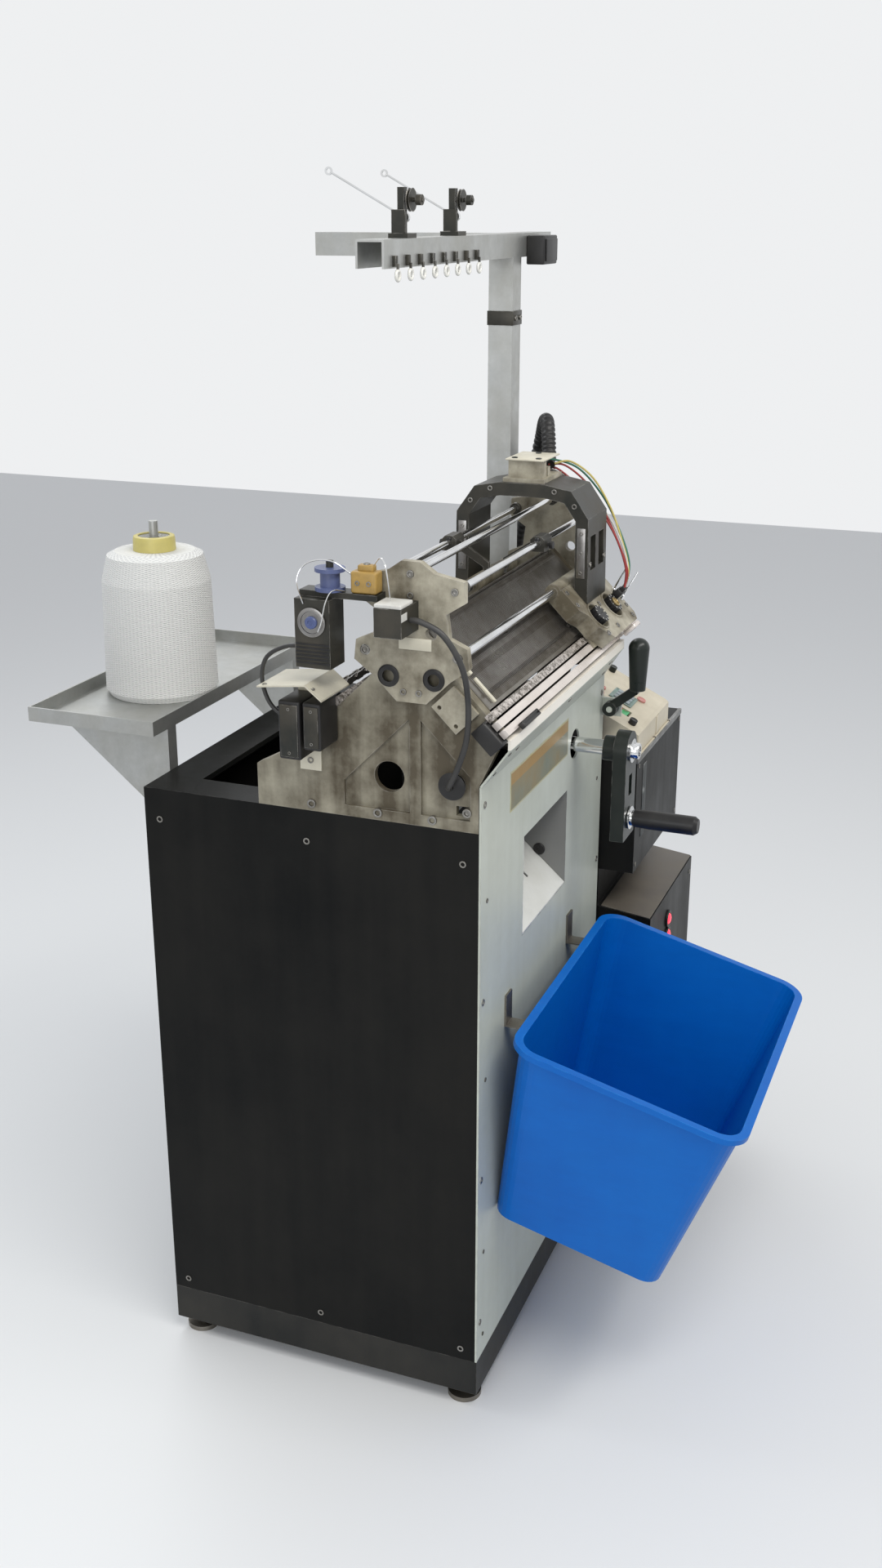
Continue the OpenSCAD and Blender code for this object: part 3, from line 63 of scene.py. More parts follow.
# %% [markdown]
# The camera stands in the aisle, above the near corner of the machine, and looks down along it. It is aimed at the
# middle of the machine, and the lens is long enough for the machine to fill an upright picture.

# %% Camera


def aimed(name, data, place, target):
    """A camera or a lamp at a place that looks at its target."""
    made = bpy.data.objects.new(name, data)
    bpy.context.scene.collection.objects.link(made)
    made.location = place
    made.rotation_euler = (Vector(target) - Vector(place)).to_track_quat("-Z", "Y").to_euler()
    return made


camera_data = bpy.data.cameras.new("aisle_camera")
camera_data.sensor_fit = "VERTICAL"
camera_data.sensor_height = 36
camera_data.lens = 37
camera = aimed("aisle_camera", camera_data, (-2.31, -0.86, 1.74), (-0.03, 0.03, 0.86))
bpy.context.scene.camera = camera
print("camera at", tuple(round(v, 2) for v in camera.location))

# %% [markdown]
# World, floor and finishes are all made of shader nodes. A few small functions add a node, fill its inputs with
# values or links and hand on its result, so that each finish further down reads like a sum.

# %% Node helpers


def feed(tree, socket, value):
    """Fills an input with a link from another socket, or with a number, a vector or a colour."""
    if hasattr(value, "links"):
        tree.links.new(value, socket)
    elif socket.type == "RGBA":
        socket.default_value = (*value, 1)
    else:
        socket.default_value = value


def fill(tree, node, **values):
    """Sets properties of a node, or its inputs, where an underscore stands for a space in the input's name."""
    for label, value in values.items():
        if hasattr(node, label):
            setattr(node, label, value)
        else:
            feed(tree, node.inputs[label.replace("_", " ")], value)
    return node


def add_node(tree, kind, *values, **settings):
    """The outputs of a new shader node whose first inputs get the values in order."""
    made = fill(tree, tree.nodes.new("ShaderNode" + kind), **settings)
    for socket, value in zip(made.inputs, values):
        feed(tree, socket, value)
    return made.outputs


def calc(tree, operation, *values, **settings):
    """The result of a maths node."""
    return add_node(tree, "Math", *values, operation=operation, **settings)[0]


def span(tree, value, low, high, start=0, end=1):
    """value, from start to end, turned into low to high."""
    return add_node(tree, "MapRange", value, start, end, low, high)[0]


def noise(tree, place, **settings):
    return add_node(tree, "TexNoise", Vector=place, **settings)["Fac"]


def own_place(tree):
    """The shaded place in its object's own measure, which is the row frame's."""
    return add_node(tree, "TexCoord")["Object"]


def mix_colour(tree, factor, first, second):
    """The first colour where the factor is zero, and the second where it is one."""
    return add_node(tree, "Mix", data_type="RGBA", Factor=factor, A=first, B=second)["Result"]


def bump_map(tree, height, strength, distance):
    return add_node(tree, "Bump", Strength=strength, Distance=distance, Height=height)[0]


def new_material(name):
    """A material with its node tree and its shader."""
    made = bpy.data.materials.new(name)
    made.use_nodes = True
    return made, made.node_tree, made.node_tree.nodes["Principled BSDF"]


print("node helpers ready")

# %% [markdown]
# The studio is plain: a pale floor that catches the shadow, an even world, one large lamp above and a weaker one
# at the side. The light is level, so a colour shows about as it is written. The camera, and whatever shines, sees a
# pale background in place of the dimmer light of the world.

# %% World, lamps and floor
world = bpy.data.worlds.new("studio")
bpy.context.scene.world = world
world.use_nodes = True
sky = world.node_tree
light = fill(sky, sky.nodes["Background"], Color=(0.93, 0.95, 1), Strength=0.55)
seen = add_node(sky, "Background", Color=(0.86, 0.87, 0.88), Strength=1)
rays = add_node(sky, "LightPath")
seen_by = rays["Is Camera Ray"]
for kind in ("Is Glossy Ray", "Is Transmission Ray"):
    seen_by = calc(sky, "MAXIMUM", seen_by, rays[kind])
swap = add_node(sky, "MixShader", seen_by, light.outputs[0], seen[0])
sky.links.new(swap[0], sky.nodes["World Output"].inputs[0])
bpy.context.scene.view_settings.view_transform = "Standard"

LAMPS = [
    ("ceiling_tubes", (-0.9, -1.6, 3.3), (0, 0, 0.9), (3.2, 0.6), 62, (1, 0.98, 0.94)),
    ("ceiling_tubes_rear", (0.6, 1.9, 3.2), (0, 0, 0.9), (3.2, 0.6), 34, (0.95, 0.98, 1)),
    ("side_fill", (-3.2, -0.2, 1.8), (0, 0, 0.8), (1.6, 1.6), 22, (0.95, 0.97, 1)),
]
for name, place, target, size, power, colour in LAMPS:
    lamp_data = bpy.data.lights.new(name, "AREA")
    lamp_data.shape = "RECTANGLE"
    lamp_data.size, lamp_data.size_y = size
    lamp_data.energy = power
    lamp_data.color = colour
    aimed(name, lamp_data, place, target)

bpy.ops.object.select_all(action="DESELECT")
bpy.ops.mesh.primitive_plane_add(size=14, location=(0, 0, 0))
floor = bpy.context.object
floor.name = "studio_floor"
floor_paint, tree, shader = new_material("studio_floor_paint")
fill(tree, shader, Base_Color=(0.8, 0.81, 0.81), Roughness=0.55)
floor.data.materials.append(floor_paint)
print("floor and", len(bpy.data.lights), "lamps")

# %% [markdown]
# Workshop machines show their age in three ways: oily dust that gathers in clouds and runs down, paint that rubs
# off at the edges, and a fine grain in the paint or the casting. Each of the three is one shader node group, so
# that every finish can use it with its own amounts.

# %% Shared node groups


def new_group(name, inputs, outputs):
    """An empty group of nodes, what is given to it and what it has to result in."""
    group = bpy.data.node_groups.new(name, "ShaderNodeTree")
    for label, value in inputs.items():
        group.interface.new_socket(label, in_out="INPUT", socket_type="NodeSocketFloat").default_value = value
    for label in outputs:
        group.interface.new_socket(label, in_out="OUTPUT", socket_type="NodeSocketFloat")
    return group, group.nodes.new("NodeGroupInput").outputs, group.nodes.new("NodeGroupOutput").inputs


dust_group, given, result = new_group("dust_clouds", {"Scale": 6, "Amount": 0.5, "Streaks": 0.3}, ["Mask"])
place = own_place(dust_group)
clouds = noise(dust_group, place, Scale=given["Scale"], Detail=6, Roughness=0.62)
stretched = add_node(dust_group, "Mapping", Vector=place, Scale=(9, 9, 0.7))[0]
runs = calc(dust_group, "MULTIPLY", noise(dust_group, stretched, Scale=4, Detail=3), given["Streaks"])
level = span(dust_group, calc(dust_group, "ADD", clouds, runs), 0, 1, 0.42, 0.95)
feed(dust_group, result["Mask"], calc(dust_group, "MULTIPLY", level, given["Amount"], use_clamp=True))

edge_group, given, result = new_group("rubbed_edges", {"Width": 0.002, "Amount": 0.8}, ["Mask"])
rounded = add_node(edge_group, "Bevel", given["Width"], samples=4)[0]
surface = add_node(edge_group, "NewGeometry")["Normal"]
facing = add_node(edge_group, "VectorMath", rounded, surface, operation="DOT_PRODUCT")["Value"]
spots = noise(edge_group, own_place(edge_group), Scale=55, Detail=4)
broken = calc(edge_group, "MULTIPLY", span(edge_group, facing, 0, 1, 0.995, 0.86),
              span(edge_group, spots, 0, 1, 0.42, 0.58))
feed(edge_group, result["Mask"], calc(edge_group, "MULTIPLY", broken, given["Amount"], use_clamp=True))

grain_group, given, result = new_group(
    "surface_grain", {"Scale": 400, "Along X": 1, "Along Y": 1, "Along Z": 1.0}, ["Height", "Fleck"])
along = add_node(grain_group, "CombineXYZ", *[given["Along " + axis] for axis in "XYZ"])[0]
place = add_node(grain_group, "VectorMath", own_place(grain_group), along, operation="MULTIPLY")[0]
feed(grain_group, result["Height"], noise(grain_group, place, Scale=given["Scale"], Detail=3, Roughness=0.6))
feed(grain_group, result["Fleck"], noise(grain_group, place, Scale=38, Detail=5, Roughness=0.7))
print("groups", [group.name for group in bpy.data.node_groups])

# %% [markdown]
# One recipe serves every hard finish. Clean colour, dirt colour and bare metal are mixed by the masks of the
# groups, the roughness rises where it is dirty, and the grain gives a small bump.

# %% Recipe of a worn finish
GRAIN_DEPTH = 0.0006
FLECK_SHADE = 0.55
finishes = {}


def use_group(tree, group, **values):
    return add_node(tree, "Group", node_tree=group, **values)


def worn_finish(name, clean, dirt, bare=None, slot=None, metal=0, bare_metal=0.9, rough=(0.35, 0.6), cloud=5,
                dusty=0.6, streaks=0.25, edge=0.0015, wear=0.7, grain=420, along=(1, 1, 1), bump=0.12, fleck=0.15,
                shine=0.5):
    """Keeps a finish of clouds of dirt and a fine grain under its slot or name; a bare colour rubs its edges."""
    made, tree, shader = new_material(name)
    dust = use_group(tree, dust_group, Scale=cloud, Amount=dusty, Streaks=streaks)["Mask"]
    grains = use_group(tree, grain_group, Scale=grain, Along_X=along[0], Along_Y=along[1], Along_Z=along[2])
    flecks = span(tree, grains["Fleck"], 0, fleck, 0.35, 0.7)
    shade = mix_colour(tree, dust, mix_colour(tree, flecks, clean, [c * FLECK_SHADE for c in clean]), dirt)
    if bare:
        rub = use_group(tree, edge_group, Width=edge, Amount=wear)["Mask"]
        shade = mix_colour(tree, rub, shade, bare)
        metal = span(tree, rub, metal, bare_metal)
    fill(tree, shader, Base_Color=shade, Metallic=metal, Roughness=span(tree, dust, *rough), Specular_IOR_Level=shine,
         Normal=bump_map(tree, grains["Height"], bump, GRAIN_DEPTH))
    finishes[slot or name] = made


# %% [markdown]
# Now the finishes themselves, with the colours of the photograph: pale green-white enamel on the cover, black
# paint with dust on the cabinets, stained beige enamel on the castings, oiled steel on the beds, hard chrome on the
# rods and bright blue plastic on the bin. Each has a clean colour, the colour of its dirt and that of its bare edges.

# %% Finishes of the nodes
worn_finish(
    "cover_enamel", (0.56, 0.6, 0.54), (0.37, 0.38, 0.31), (0.3, 0.28, 0.24), "cover_paint",
    rough=(0.28, 0.55), cloud=3.2, dusty=0.45, streaks=0.5, wear=0.8, bump=0.05)
worn_finish(
    "chute_enamel", (0.72, 0.73, 0.7), (0.45, 0.44, 0.38), (0.3, 0.28, 0.25), "chute_paint",
    rough=(0.3, 0.55), cloud=7, dusty=0.5, streaks=0.2, bump=0.05)
worn_finish(
    "black_enamel", (0.003, 0.0036, 0.0038), (0.017, 0.016, 0.014), (0.2, 0.19, 0.175), "black_sheet",
    rough=(0.3, 0.62), cloud=4, dusty=0.7, streaks=0.35, edge=0.001, wear=0.45, shine=0.12)
worn_finish(
    "base_enamel", (0.008, 0.009, 0.009), (0.045, 0.042, 0.036), (0.22, 0.21, 0.19), "base_paint",
    rough=(0.4, 0.75), cloud=6, dusty=0.8, wear=0.5, shine=0.25)
worn_finish(
    "oiled_steel", (0.3, 0.28, 0.25), (0.1, 0.085, 0.06), (0.55, 0.53, 0.5), "steel_parts",
    metal=0.9, rough=(0.28, 0.55), cloud=9, dusty=0.9, wear=0.5, along=(1, 1, 14))
worn_finish(
    "beige_casting", (0.45, 0.42, 0.32), (0.075, 0.06, 0.036), (0.36, 0.34, 0.3), "frame_casting",
    rough=(0.3, 0.7), cloud=8, dusty=1.35, streaks=0.5, edge=0.002, wear=0.8, grain=260, bump=0.35)
worn_finish(
    "cream_casting", (0.6, 0.56, 0.44), (0.11, 0.092, 0.058), (0.36, 0.34, 0.31),
    rough=(0.3, 0.6), cloud=13, dusty=1.25, streaks=0.35, edge=0.0018, wear=0.8, grain=300, bump=0.25)
worn_finish("cream_sheet", (0.7, 0.66, 0.53), (0.3, 0.27, 0.2), (0.4, 0.38, 0.34), cloud=8)
worn_finish(
    "ground_steel", (0.86, 0.79, 0.74), (0.34, 0.29, 0.24), (0.9, 0.88, 0.85), "ground_rail", metal=0.45,
    bare_metal=1, rough=(0.2, 0.45), cloud=12, dusty=0.5, wear=0.5, along=(0.05, 1, 1), bump=0.08)
# Painted shade: the needle steel is painted darker than bare steel, for the carriage's shadow over the beds; its clouds
# are oily dirt.
worn_finish(
    "needle_steel", (0.44, 0.42, 0.39), (0.1, 0.08, 0.06), metal=1, rough=(0.25, 0.5), cloud=16,
    dusty=0.9)
worn_finish(
    "hard_chrome", (0.82, 0.83, 0.84), (0.4, 0.37, 0.32), slot="chrome_rod", metal=1,
    rough=(0.07, 0.3), cloud=22, dusty=0.45, along=(0.1, 1, 1), bump=0.03, fleck=0.05)
worn_finish(
    "dark_oiled_metal", (0.024, 0.026, 0.023), (0.085, 0.073, 0.055), (0.4, 0.38, 0.35), "dark_metal",
    metal=0.4, rough=(0.3, 0.6), cloud=14, dusty=0.8, wear=0.9, shine=0.4)
worn_finish(
    "black_plastic", (0.01, 0.01, 0.011), (0.045, 0.042, 0.037), (0.07, 0.07, 0.07), bare_metal=0,
    cloud=18, dusty=0.5, wear=0.4, bump=0.08, shine=0.35)
worn_finish(
    "rubbed_black", (0.007, 0.012, 0.01), (0.035, 0.036, 0.03), (0.35, 0.34, 0.32), "black_enamel",
    rough=(0.25, 0.55), cloud=14, dusty=0.5, wear=0.8, shine=0.35)
worn_finish(
    "gear_steel", (0.38, 0.37, 0.36), (0.06, 0.05, 0.04), (0.6, 0.6, 0.58), metal=1, bare_metal=1,
    rough=(0.25, 0.5), cloud=20, dusty=0.9, wear=0.6)
worn_finish("belt_rubber", (0.02, 0.02, 0.02), (0.08, 0.08, 0.075), rough=(0.6, 0.9), cloud=20, bump=0.3)
worn_finish(
    "motor_enamel", (0.12, 0.17, 0.17), (0.12, 0.11, 0.1), (0.35, 0.34, 0.32), "motor_paint",
    rough=(0.4, 0.7), cloud=8, dusty=0.7)
worn_finish(
    "beige_powder_coat", (0.66, 0.6, 0.47), (0.3, 0.26, 0.18), (0.45, 0.42, 0.36), "beige_plastic",
    bare_metal=0.1, rough=(0.4, 0.65), cloud=9, dusty=0.55, wear=0.6, grain=900, bump=0.2)
worn_finish(
    "breaker_plastic", (0.6, 0.62, 0.62), (0.32, 0.31, 0.28), (0.5, 0.5, 0.48), bare_metal=0,
    cloud=25, dusty=0.5, wear=0.3)
worn_finish(
    "galvanised_steel", (0.5, 0.51, 0.5), (0.33, 0.32, 0.28), slot="galvanised_tube", metal=0.85,
    rough=(0.34, 0.6), cloud=13, dusty=0.7, grain=120, bump=0.08, fleck=0.35)
worn_finish(
    "dark_blue_plastic", (0.06, 0.09, 0.24), (0.14, 0.14, 0.16), (0.15, 0.18, 0.3), "blue_plastic",
    bare_metal=0, rough=(0.3, 0.55), cloud=20, dusty=0.5, wear=0.4)
print(len(finishes), "worn finishes")

# %% [markdown]
# The small pieces that are added further down have finishes of their own: screws, keys, bare plates, leads, labels.
# Their clouds of dirt are finer, because the pieces are small.

# %% Finishes of the small pieces
worn_finish("screw_steel", (0.34, 0.33, 0.31), (0.08, 0.07, 0.05), metal=0.9, rough=(0.3, 0.5), cloud=60, dusty=0.8)
worn_finish(
    "keypad_green", (0.2, 0.3, 0.27), (0.12, 0.11, 0.09), (0.3, 0.36, 0.33), bare_metal=0, cloud=60,
    wear=0.4, bump=0.05)
worn_finish(
    "key_grey", (0.3, 0.36, 0.38), (0.1, 0.09, 0.08), (0.4, 0.42, 0.42), bare_metal=0,
    rough=(0.3, 0.55), cloud=80, wear=0.4, bump=0.05)
worn_finish(
    "button_pink", (0.62, 0.24, 0.22), (0.3, 0.2, 0.15), (0.7, 0.5, 0.45), bare_metal=0, cloud=60,
    dusty=0.7, wear=0.5, bump=0.05)
worn_finish(
    "plate_grey", (0.3, 0.33, 0.33), (0.12, 0.12, 0.11), (0.45, 0.46, 0.46), bare_metal=0.2, cloud=30,
    dusty=0.9, wear=0.4, bump=0.05)
worn_finish(
    "plate_white", (0.62, 0.64, 0.62), (0.05, 0.055, 0.055), (0.4, 0.4, 0.4), bare_metal=0,
    rough=(0.4, 0.7), cloud=22, dusty=2.2, streaks=0.35, wear=0.4, bump=0.1)
worn_finish(
    "strip_steel", (0.24, 0.24, 0.23), (0.08, 0.075, 0.07), (0.6, 0.6, 0.58), metal=0.6,
    rough=(0.3, 0.5), cloud=30, dusty=0.8, wear=0.9)
worn_finish(
    "lid_brown", (0.07, 0.06, 0.05), (0.16, 0.14, 0.11), (0.35, 0.32, 0.28), rough=(0.4, 0.7), cloud=9,
    dusty=0.8)
worn_finish("mark_white", (0.7, 0.7, 0.66), (0.3, 0.3, 0.26), rough=(0.4, 0.6), cloud=90)
worn_finish(
    "brass", (0.66, 0.5, 0.22), (0.2, 0.15, 0.07), (0.8, 0.68, 0.4), metal=1, bare_metal=1,
    rough=(0.25, 0.5), cloud=40, dusty=0.8, wear=0.5)
worn_finish("lead_rubber", (0.016, 0.016, 0.017), (0.07, 0.066, 0.058), rough=(0.38, 0.68), cloud=24, bump=0.05)
worn_finish(
    "ochre_casting", (0.46, 0.29, 0.075), (0.16, 0.1, 0.03), (0.6, 0.5, 0.3), bare_metal=0.4,
    rough=(0.32, 0.6), cloud=40, dusty=0.9, wear=0.8, grain=300, bump=0.3)
worn_finish(
    "box_white", (0.7, 0.7, 0.67), (0.33, 0.31, 0.26), (0.5, 0.5, 0.48), bare_metal=0, cloud=30,
    dusty=0.7, wear=0.4, bump=0.05)
worn_finish(
    "label_yellow", (0.5, 0.44, 0.2), (0.42, 0.42, 0.3), (0.6, 0.62, 0.55), bare_metal=0,
    rough=(0.4, 0.6), cloud=26, dusty=1.3, streaks=0.4, fleck=0.4, bump=0.05)
worn_finish(
    "label_green", (0.19, 0.21, 0.16), (0.28, 0.2, 0.09), (0.45, 0.44, 0.34), bare_metal=0,
    rough=(0.4, 0.6), cloud=17, dusty=1, streaks=0.2, wear=0.4, fleck=0.3, bump=0.05)
worn_finish("porcelain", (0.8, 0.8, 0.76), (0.45, 0.42, 0.34), rough=(0.12, 0.3), cloud=60, dusty=0.5, bump=0.02)
worn_finish(
    "tube_yellow", (0.6, 0.52, 0.16), (0.36, 0.32, 0.14), (0.7, 0.66, 0.4), bare_metal=0,
    rough=(0.4, 0.6), cloud=40, wear=0.3, bump=0.05)
print(len(finishes), "finishes with the small ones")

# %% [markdown]
# The bin is moulded in one piece from bright blue plastic. It shines softly, the blue varies a little with the
# thickness of the wall, and light scuffs run along the places that are rubbed.

# %% Blue bin plastic
finishes["bin_plastic"], tree, shader = new_material("bin_blue")
scuffs = use_group(tree, grain_group, Scale=90, Along_X=1, Along_Y=0.25, Along_Z=1)
haze = use_group(tree, dust_group, Scale=3.5, Amount=0.5, Streaks=0.25)["Mask"]
rub = use_group(tree, edge_group, Width=0.003, Amount=0.35)["Mask"]
blue = mix_colour(tree, span(tree, scuffs["Fleck"], 0, 0.5, 0.3, 0.7), (0, 0.118, 0.5), (0, 0.092, 0.4))
blue = mix_colour(tree, haze, blue, (0, 0.165, 0.58))
blue = mix_colour(tree, rub, blue, (0.03, 0.3, 0.76))
fill(tree, shader, Base_Color=blue, Roughness=span(tree, haze, 0.3, 0.48), Specular_IOR_Level=0.22,
     Normal=bump_map(tree, scuffs["Height"], 0.12, 0.001))
print("bin plastic ready")

# %% [markdown]
# Yarn is wound crosswise on its cone, so thin bright and dark lines cross in flat diamonds all round. Two wave
# textures that twist round the cone in opposite directions give the lines, and the same waves give the bump.

# %% Wound yarn
WINDINGS_ROUND, WINDINGS_UP = 44, 2100
finishes["yarn"], tree, shader = new_material("wound_yarn")
yarn_low, yarn_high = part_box("yarn_cone")
place = own_place(tree)
centred = add_node(tree, "Mapping", Vector=place, Location=(
    -(yarn_low[0] + yarn_high[0]) / 2, -(yarn_low[1] + yarn_high[1]) / 2, 0))
axes = add_node(tree, "SeparateXYZ", centred[0])
turn = calc(tree, "ARCTAN2", axes["Y"], axes["X"])
climb = calc(tree, "MULTIPLY", axes["Z"], WINDINGS_UP)
waves = [calc(tree, "SINE", calc(tree, "MULTIPLY_ADD", turn, WINDINGS_ROUND * twist, climb)) for twist in (1, -1)]
crossed = calc(tree, "MAXIMUM", *waves)
fuzz = span(tree, noise(tree, place, Scale=500, Detail=3), 0, 0.35, 0.4, 0.7)
shade = mix_colour(tree, span(tree, crossed, 0.55, 0, -0.6, 0.9), (0.8, 0.8, 0.77), (0.52, 0.53, 0.53))
fill(tree, shader, Base_Color=mix_colour(tree, fuzz, shade, (0.62, 0.62, 0.6)), Roughness=0.9, Sheen_Weight=0.35,
     Normal=bump_map(tree, crossed, 0.6, 0.0012))
print("wound yarn ready")

# %% [markdown]
# The rocker of the switch is green at its raised end and red at the other. Both colours belong to one piece, so
# the finish changes at the rocker's middle.

# %% Switch rocker


def beyond(tree, axis, limit):
    """A mask that is one where the place on an axis is beyond the limit, in metres."""
    return calc(tree, "GREATER_THAN", add_node(tree, "SeparateXYZ", own_place(tree))[axis], limit)


finishes["switch_plastic"], tree, shader = new_material("switch_caps")
rocker_low, rocker_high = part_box("rocker_switch")
rocker_middle = (rocker_low[1] + rocker_high[1]) / 2
flecks = use_group(tree, grain_group, Scale=600)["Fleck"]
shade = mix_colour(tree, beyond(tree, "Y", rocker_middle), (0.03, 0.42, 0.14), (0.55, 0.03, 0.03))
shade = mix_colour(tree, span(tree, flecks, 0, 0.3, 0.4, 0.7), shade, (0.2, 0.18, 0.15))
fill(tree, shader, Base_Color=shade, Roughness=span(tree, flecks, 0.22, 0.45))
print("rocker split at", round(rocker_middle, 4))

# %% [markdown]
# Two sheets change their colour within one node. The lip along the top of the cover is painted warmer and whiter than
# the panel below it, a painted highlight where its top band faces the light, and the right cheek inside the chute is
# painted grey, a painted shade, unlike the chute's white floor.

# %% Painted highlight on the lip and painted shade on the cheek
LIP_HIGHLIGHT_BOTTOM = 1.0702
CHUTE_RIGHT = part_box("glove_chute")[1][0]
SHADED_CHEEK_DEPTH = 0.0025


def overpaint(name, colour, share_of):
    """Mixes a colour over a finish, by the share that share_of makes in the finish's tree."""
    tree = finishes[name].node_tree
    base = tree.nodes["Principled BSDF"].inputs["Base Color"]
    feed(tree, base, mix_colour(tree, share_of(tree), base.links[0].from_socket, colour))


def most_beyond(axis, limit, share):
    """For overpaint: a share beyond a limit on an axis, and nothing before it."""
    return lambda tree: calc(tree, "MULTIPLY", beyond(tree, axis, limit), share)


# Painted highlight: above its bottom edge the cover lip is mixed toward warm white, where the top band faces the light.
overpaint("cover_paint", (0.93, 0.88, 0.79), most_beyond("Z", LIP_HIGHLIGHT_BOTTOM, 0.85))
# Painted shade: the chute's right cheek is mixed toward dark grey, standing in for the shade inside the chute.
overpaint("chute_paint", (0.13, 0.13, 0.125), most_beyond("X", CHUTE_RIGHT - SHADED_CHEEK_DEPTH, 0.85))
print("lip starts at", LIP_HIGHLIGHT_BOTTOM, "and the cheek at", round(CHUTE_RIGHT, 4))

# %% Give every node its finish
node_slots = {part["node"]: part["material_slot"] for part in frame["record"]["subparts"]}
for node_name, node_object in nodes.items():
    node_object.data.materials.clear()
    node_object.data.materials.append(finishes[node_slots[node_name]])
print(len(nodes), "nodes dressed")

# %% [markdown]
# The source of the part measures from the left face of the body, the front panel and the floor, in millimetres.
# The same numbers place the small pieces here, and one function turns them into the row frame in metres. Three more
# serve pieces that are made flat round the origin or in the slope's measure and are carried to their place later.

# %% Places in the machine's own measure
MID_X, MID_Y = 422.5, 180.946
FRONT, REAR, LEFT, RIGHT, UP = (0, -1, 0), (0, 1, 0), (-1, 0, 0), (1, 0, 0), (0, 0, 1)
UPRIGHT = math.radians(90)


def at(x, y, z):
    """A point given in the machine's millimetres, as metres in the row frame."""
    return Vector(((x - MID_X) / 1000, (y - MID_Y) / 1000, z / 1000))


def flat(x, y, z):
    """A point in millimetres round the origin, as metres."""
    return Vector((x, y, z)) / 1000


def sloped(x, u, n):
    """A point with x along the bed, u down the front slope and n out of it, in millimetres, before it is turned."""
    return Vector((x / 1000, -u / 1000, n / 1000))


def on_bed(x, u, n):
    """A point of the front slope, as machine millimetres."""
    half = math.sqrt(0.5)
    return (x, 95 - (u + n) * half, 1217 - (u - n) * half)


print("the front panel's lower left corner is at", tuple(round(v, 4) for v in at(0, 0, 0)))
print("rails end at", tuple(round(v, 3) for v in at(*on_bed(0, 175, 0))))

# %% [markdown]
# Every piece is made by the same few steps of a modeller's hand: add a plain solid, stretch it, round its edges,
# sink a face, carry it to its place and leave it there with its place in its mesh.

# %% Steps of the modelling


def make_active(*pieces):
    """Selects just these pieces and makes the first one active."""
    bpy.ops.object.select_all(action="DESELECT")
    for piece in pieces:
        piece.select_set(True)
    bpy.context.view_layer.objects.active = pieces[0]


def settle(piece):
    """Leaves the object at the origin, with its place in its mesh."""
    make_active(piece)
    bpy.ops.object.transform_apply(location=True, rotation=True, scale=True)
    return piece


def carry(piece, tilt, place):
    """Turns a piece about X, carries it to a place and settles it there."""
    piece.rotation_euler = (tilt, 0, 0)
    piece.location = place
    return settle(piece)


def apply_modifier(piece, kind, **settings):
    """Adds a modifier, sets it and applies it at once."""
    make_active(piece)
    modifier = piece.modifiers.new(kind.title(), kind)
    for label, value in settings.items():
        setattr(modifier, label, value)
    bpy.ops.object.modifier_apply(modifier=modifier.name)


def bevel(piece, width, segments=2):
    apply_modifier(piece, "BEVEL", width=width, segments=segments, limit_method="ANGLE")


def edit_all(piece):
    """Opens edit mode with everything selected."""
    make_active(piece)
    bpy.ops.object.mode_set(mode="EDIT")
    bpy.ops.mesh.select_all(action="SELECT")


def edit_faces(piece, test):
    """Opens edit mode with just the faces selected whose centre and normal pass the test."""
    edit_all(piece)
    bpy.ops.mesh.select_mode(type="FACE")
    bpy.ops.mesh.select_all(action="DESELECT")
    bpy.ops.object.mode_set(mode="OBJECT")
    for face in piece.data.polygons:
        face.select = bool(test(face.center, face.normal))
    bpy.ops.object.mode_set(mode="EDIT")


def leave_edit():
    bpy.ops.object.mode_set(mode="OBJECT")


def sink(piece, inset, move, test=lambda centre, normal: normal.z > 0.9):
    """Insets the faces that pass the test, usually the top, and pushes them in, as on a moulding."""
    edit_faces(piece, test)
    bpy.ops.mesh.inset(thickness=inset)
    bpy.ops.mesh.extrude_region_move(TRANSFORM_OT_translate={"value": move})
    leave_edit()


def turn_outwards(piece):
    """Makes all normals point outwards."""
    edit_all(piece)
    bpy.ops.mesh.normals_make_consistent(inside=False)
    leave_edit()
    return piece


def from_points(name, points, edges=(), faces=()):
    """An object whose mesh has the given points, edges and faces."""
    mesh = bpy.data.meshes.new(name)
    mesh.from_pydata([tuple(point) for point in points], edges, faces)
    made = bpy.data.objects.new(name, mesh)
    bpy.context.scene.collection.objects.link(made)
    return made


def twin(piece):
    """A copy of a piece with a mesh of its own."""
    copy = piece.copy()
    copy.data = piece.data.copy()
    bpy.context.scene.collection.objects.link(copy)
    return copy


def point_along(piece, place, direction):
    """Puts a piece at a place in the machine's millimetres, with its own Z axis along a direction."""
    piece.rotation_euler = Vector(direction).to_track_quat("Z", "Y").to_euler()
    piece.location = at(*place)
    return piece


def block(low, high, radius, segments=3, measure=at):
    """A block between two corners in a measure's millimetres, with its edges rounded by a bevel."""
    corner, far = measure(*low), measure(*high)
    bpy.ops.mesh.primitive_cube_add(size=1, location=(corner + far) / 2)
    made = bpy.context.object
    made.scale = [abs(side) for side in far - corner]
    settle(made)
    if radius > 0:
        bevel(made, radius / 1000, segments)
    return made


def cylinder(sides, radius, height, middle):
    """An upright cylinder in metres."""
    bpy.ops.mesh.primitive_cylinder_add(vertices=sides, radius=radius, depth=height, location=middle)
    return settle(bpy.context.object)


def join(pieces):
    """Joins several objects into the first."""
    make_active(*pieces)
    bpy.ops.object.join()
    return pieces[0]


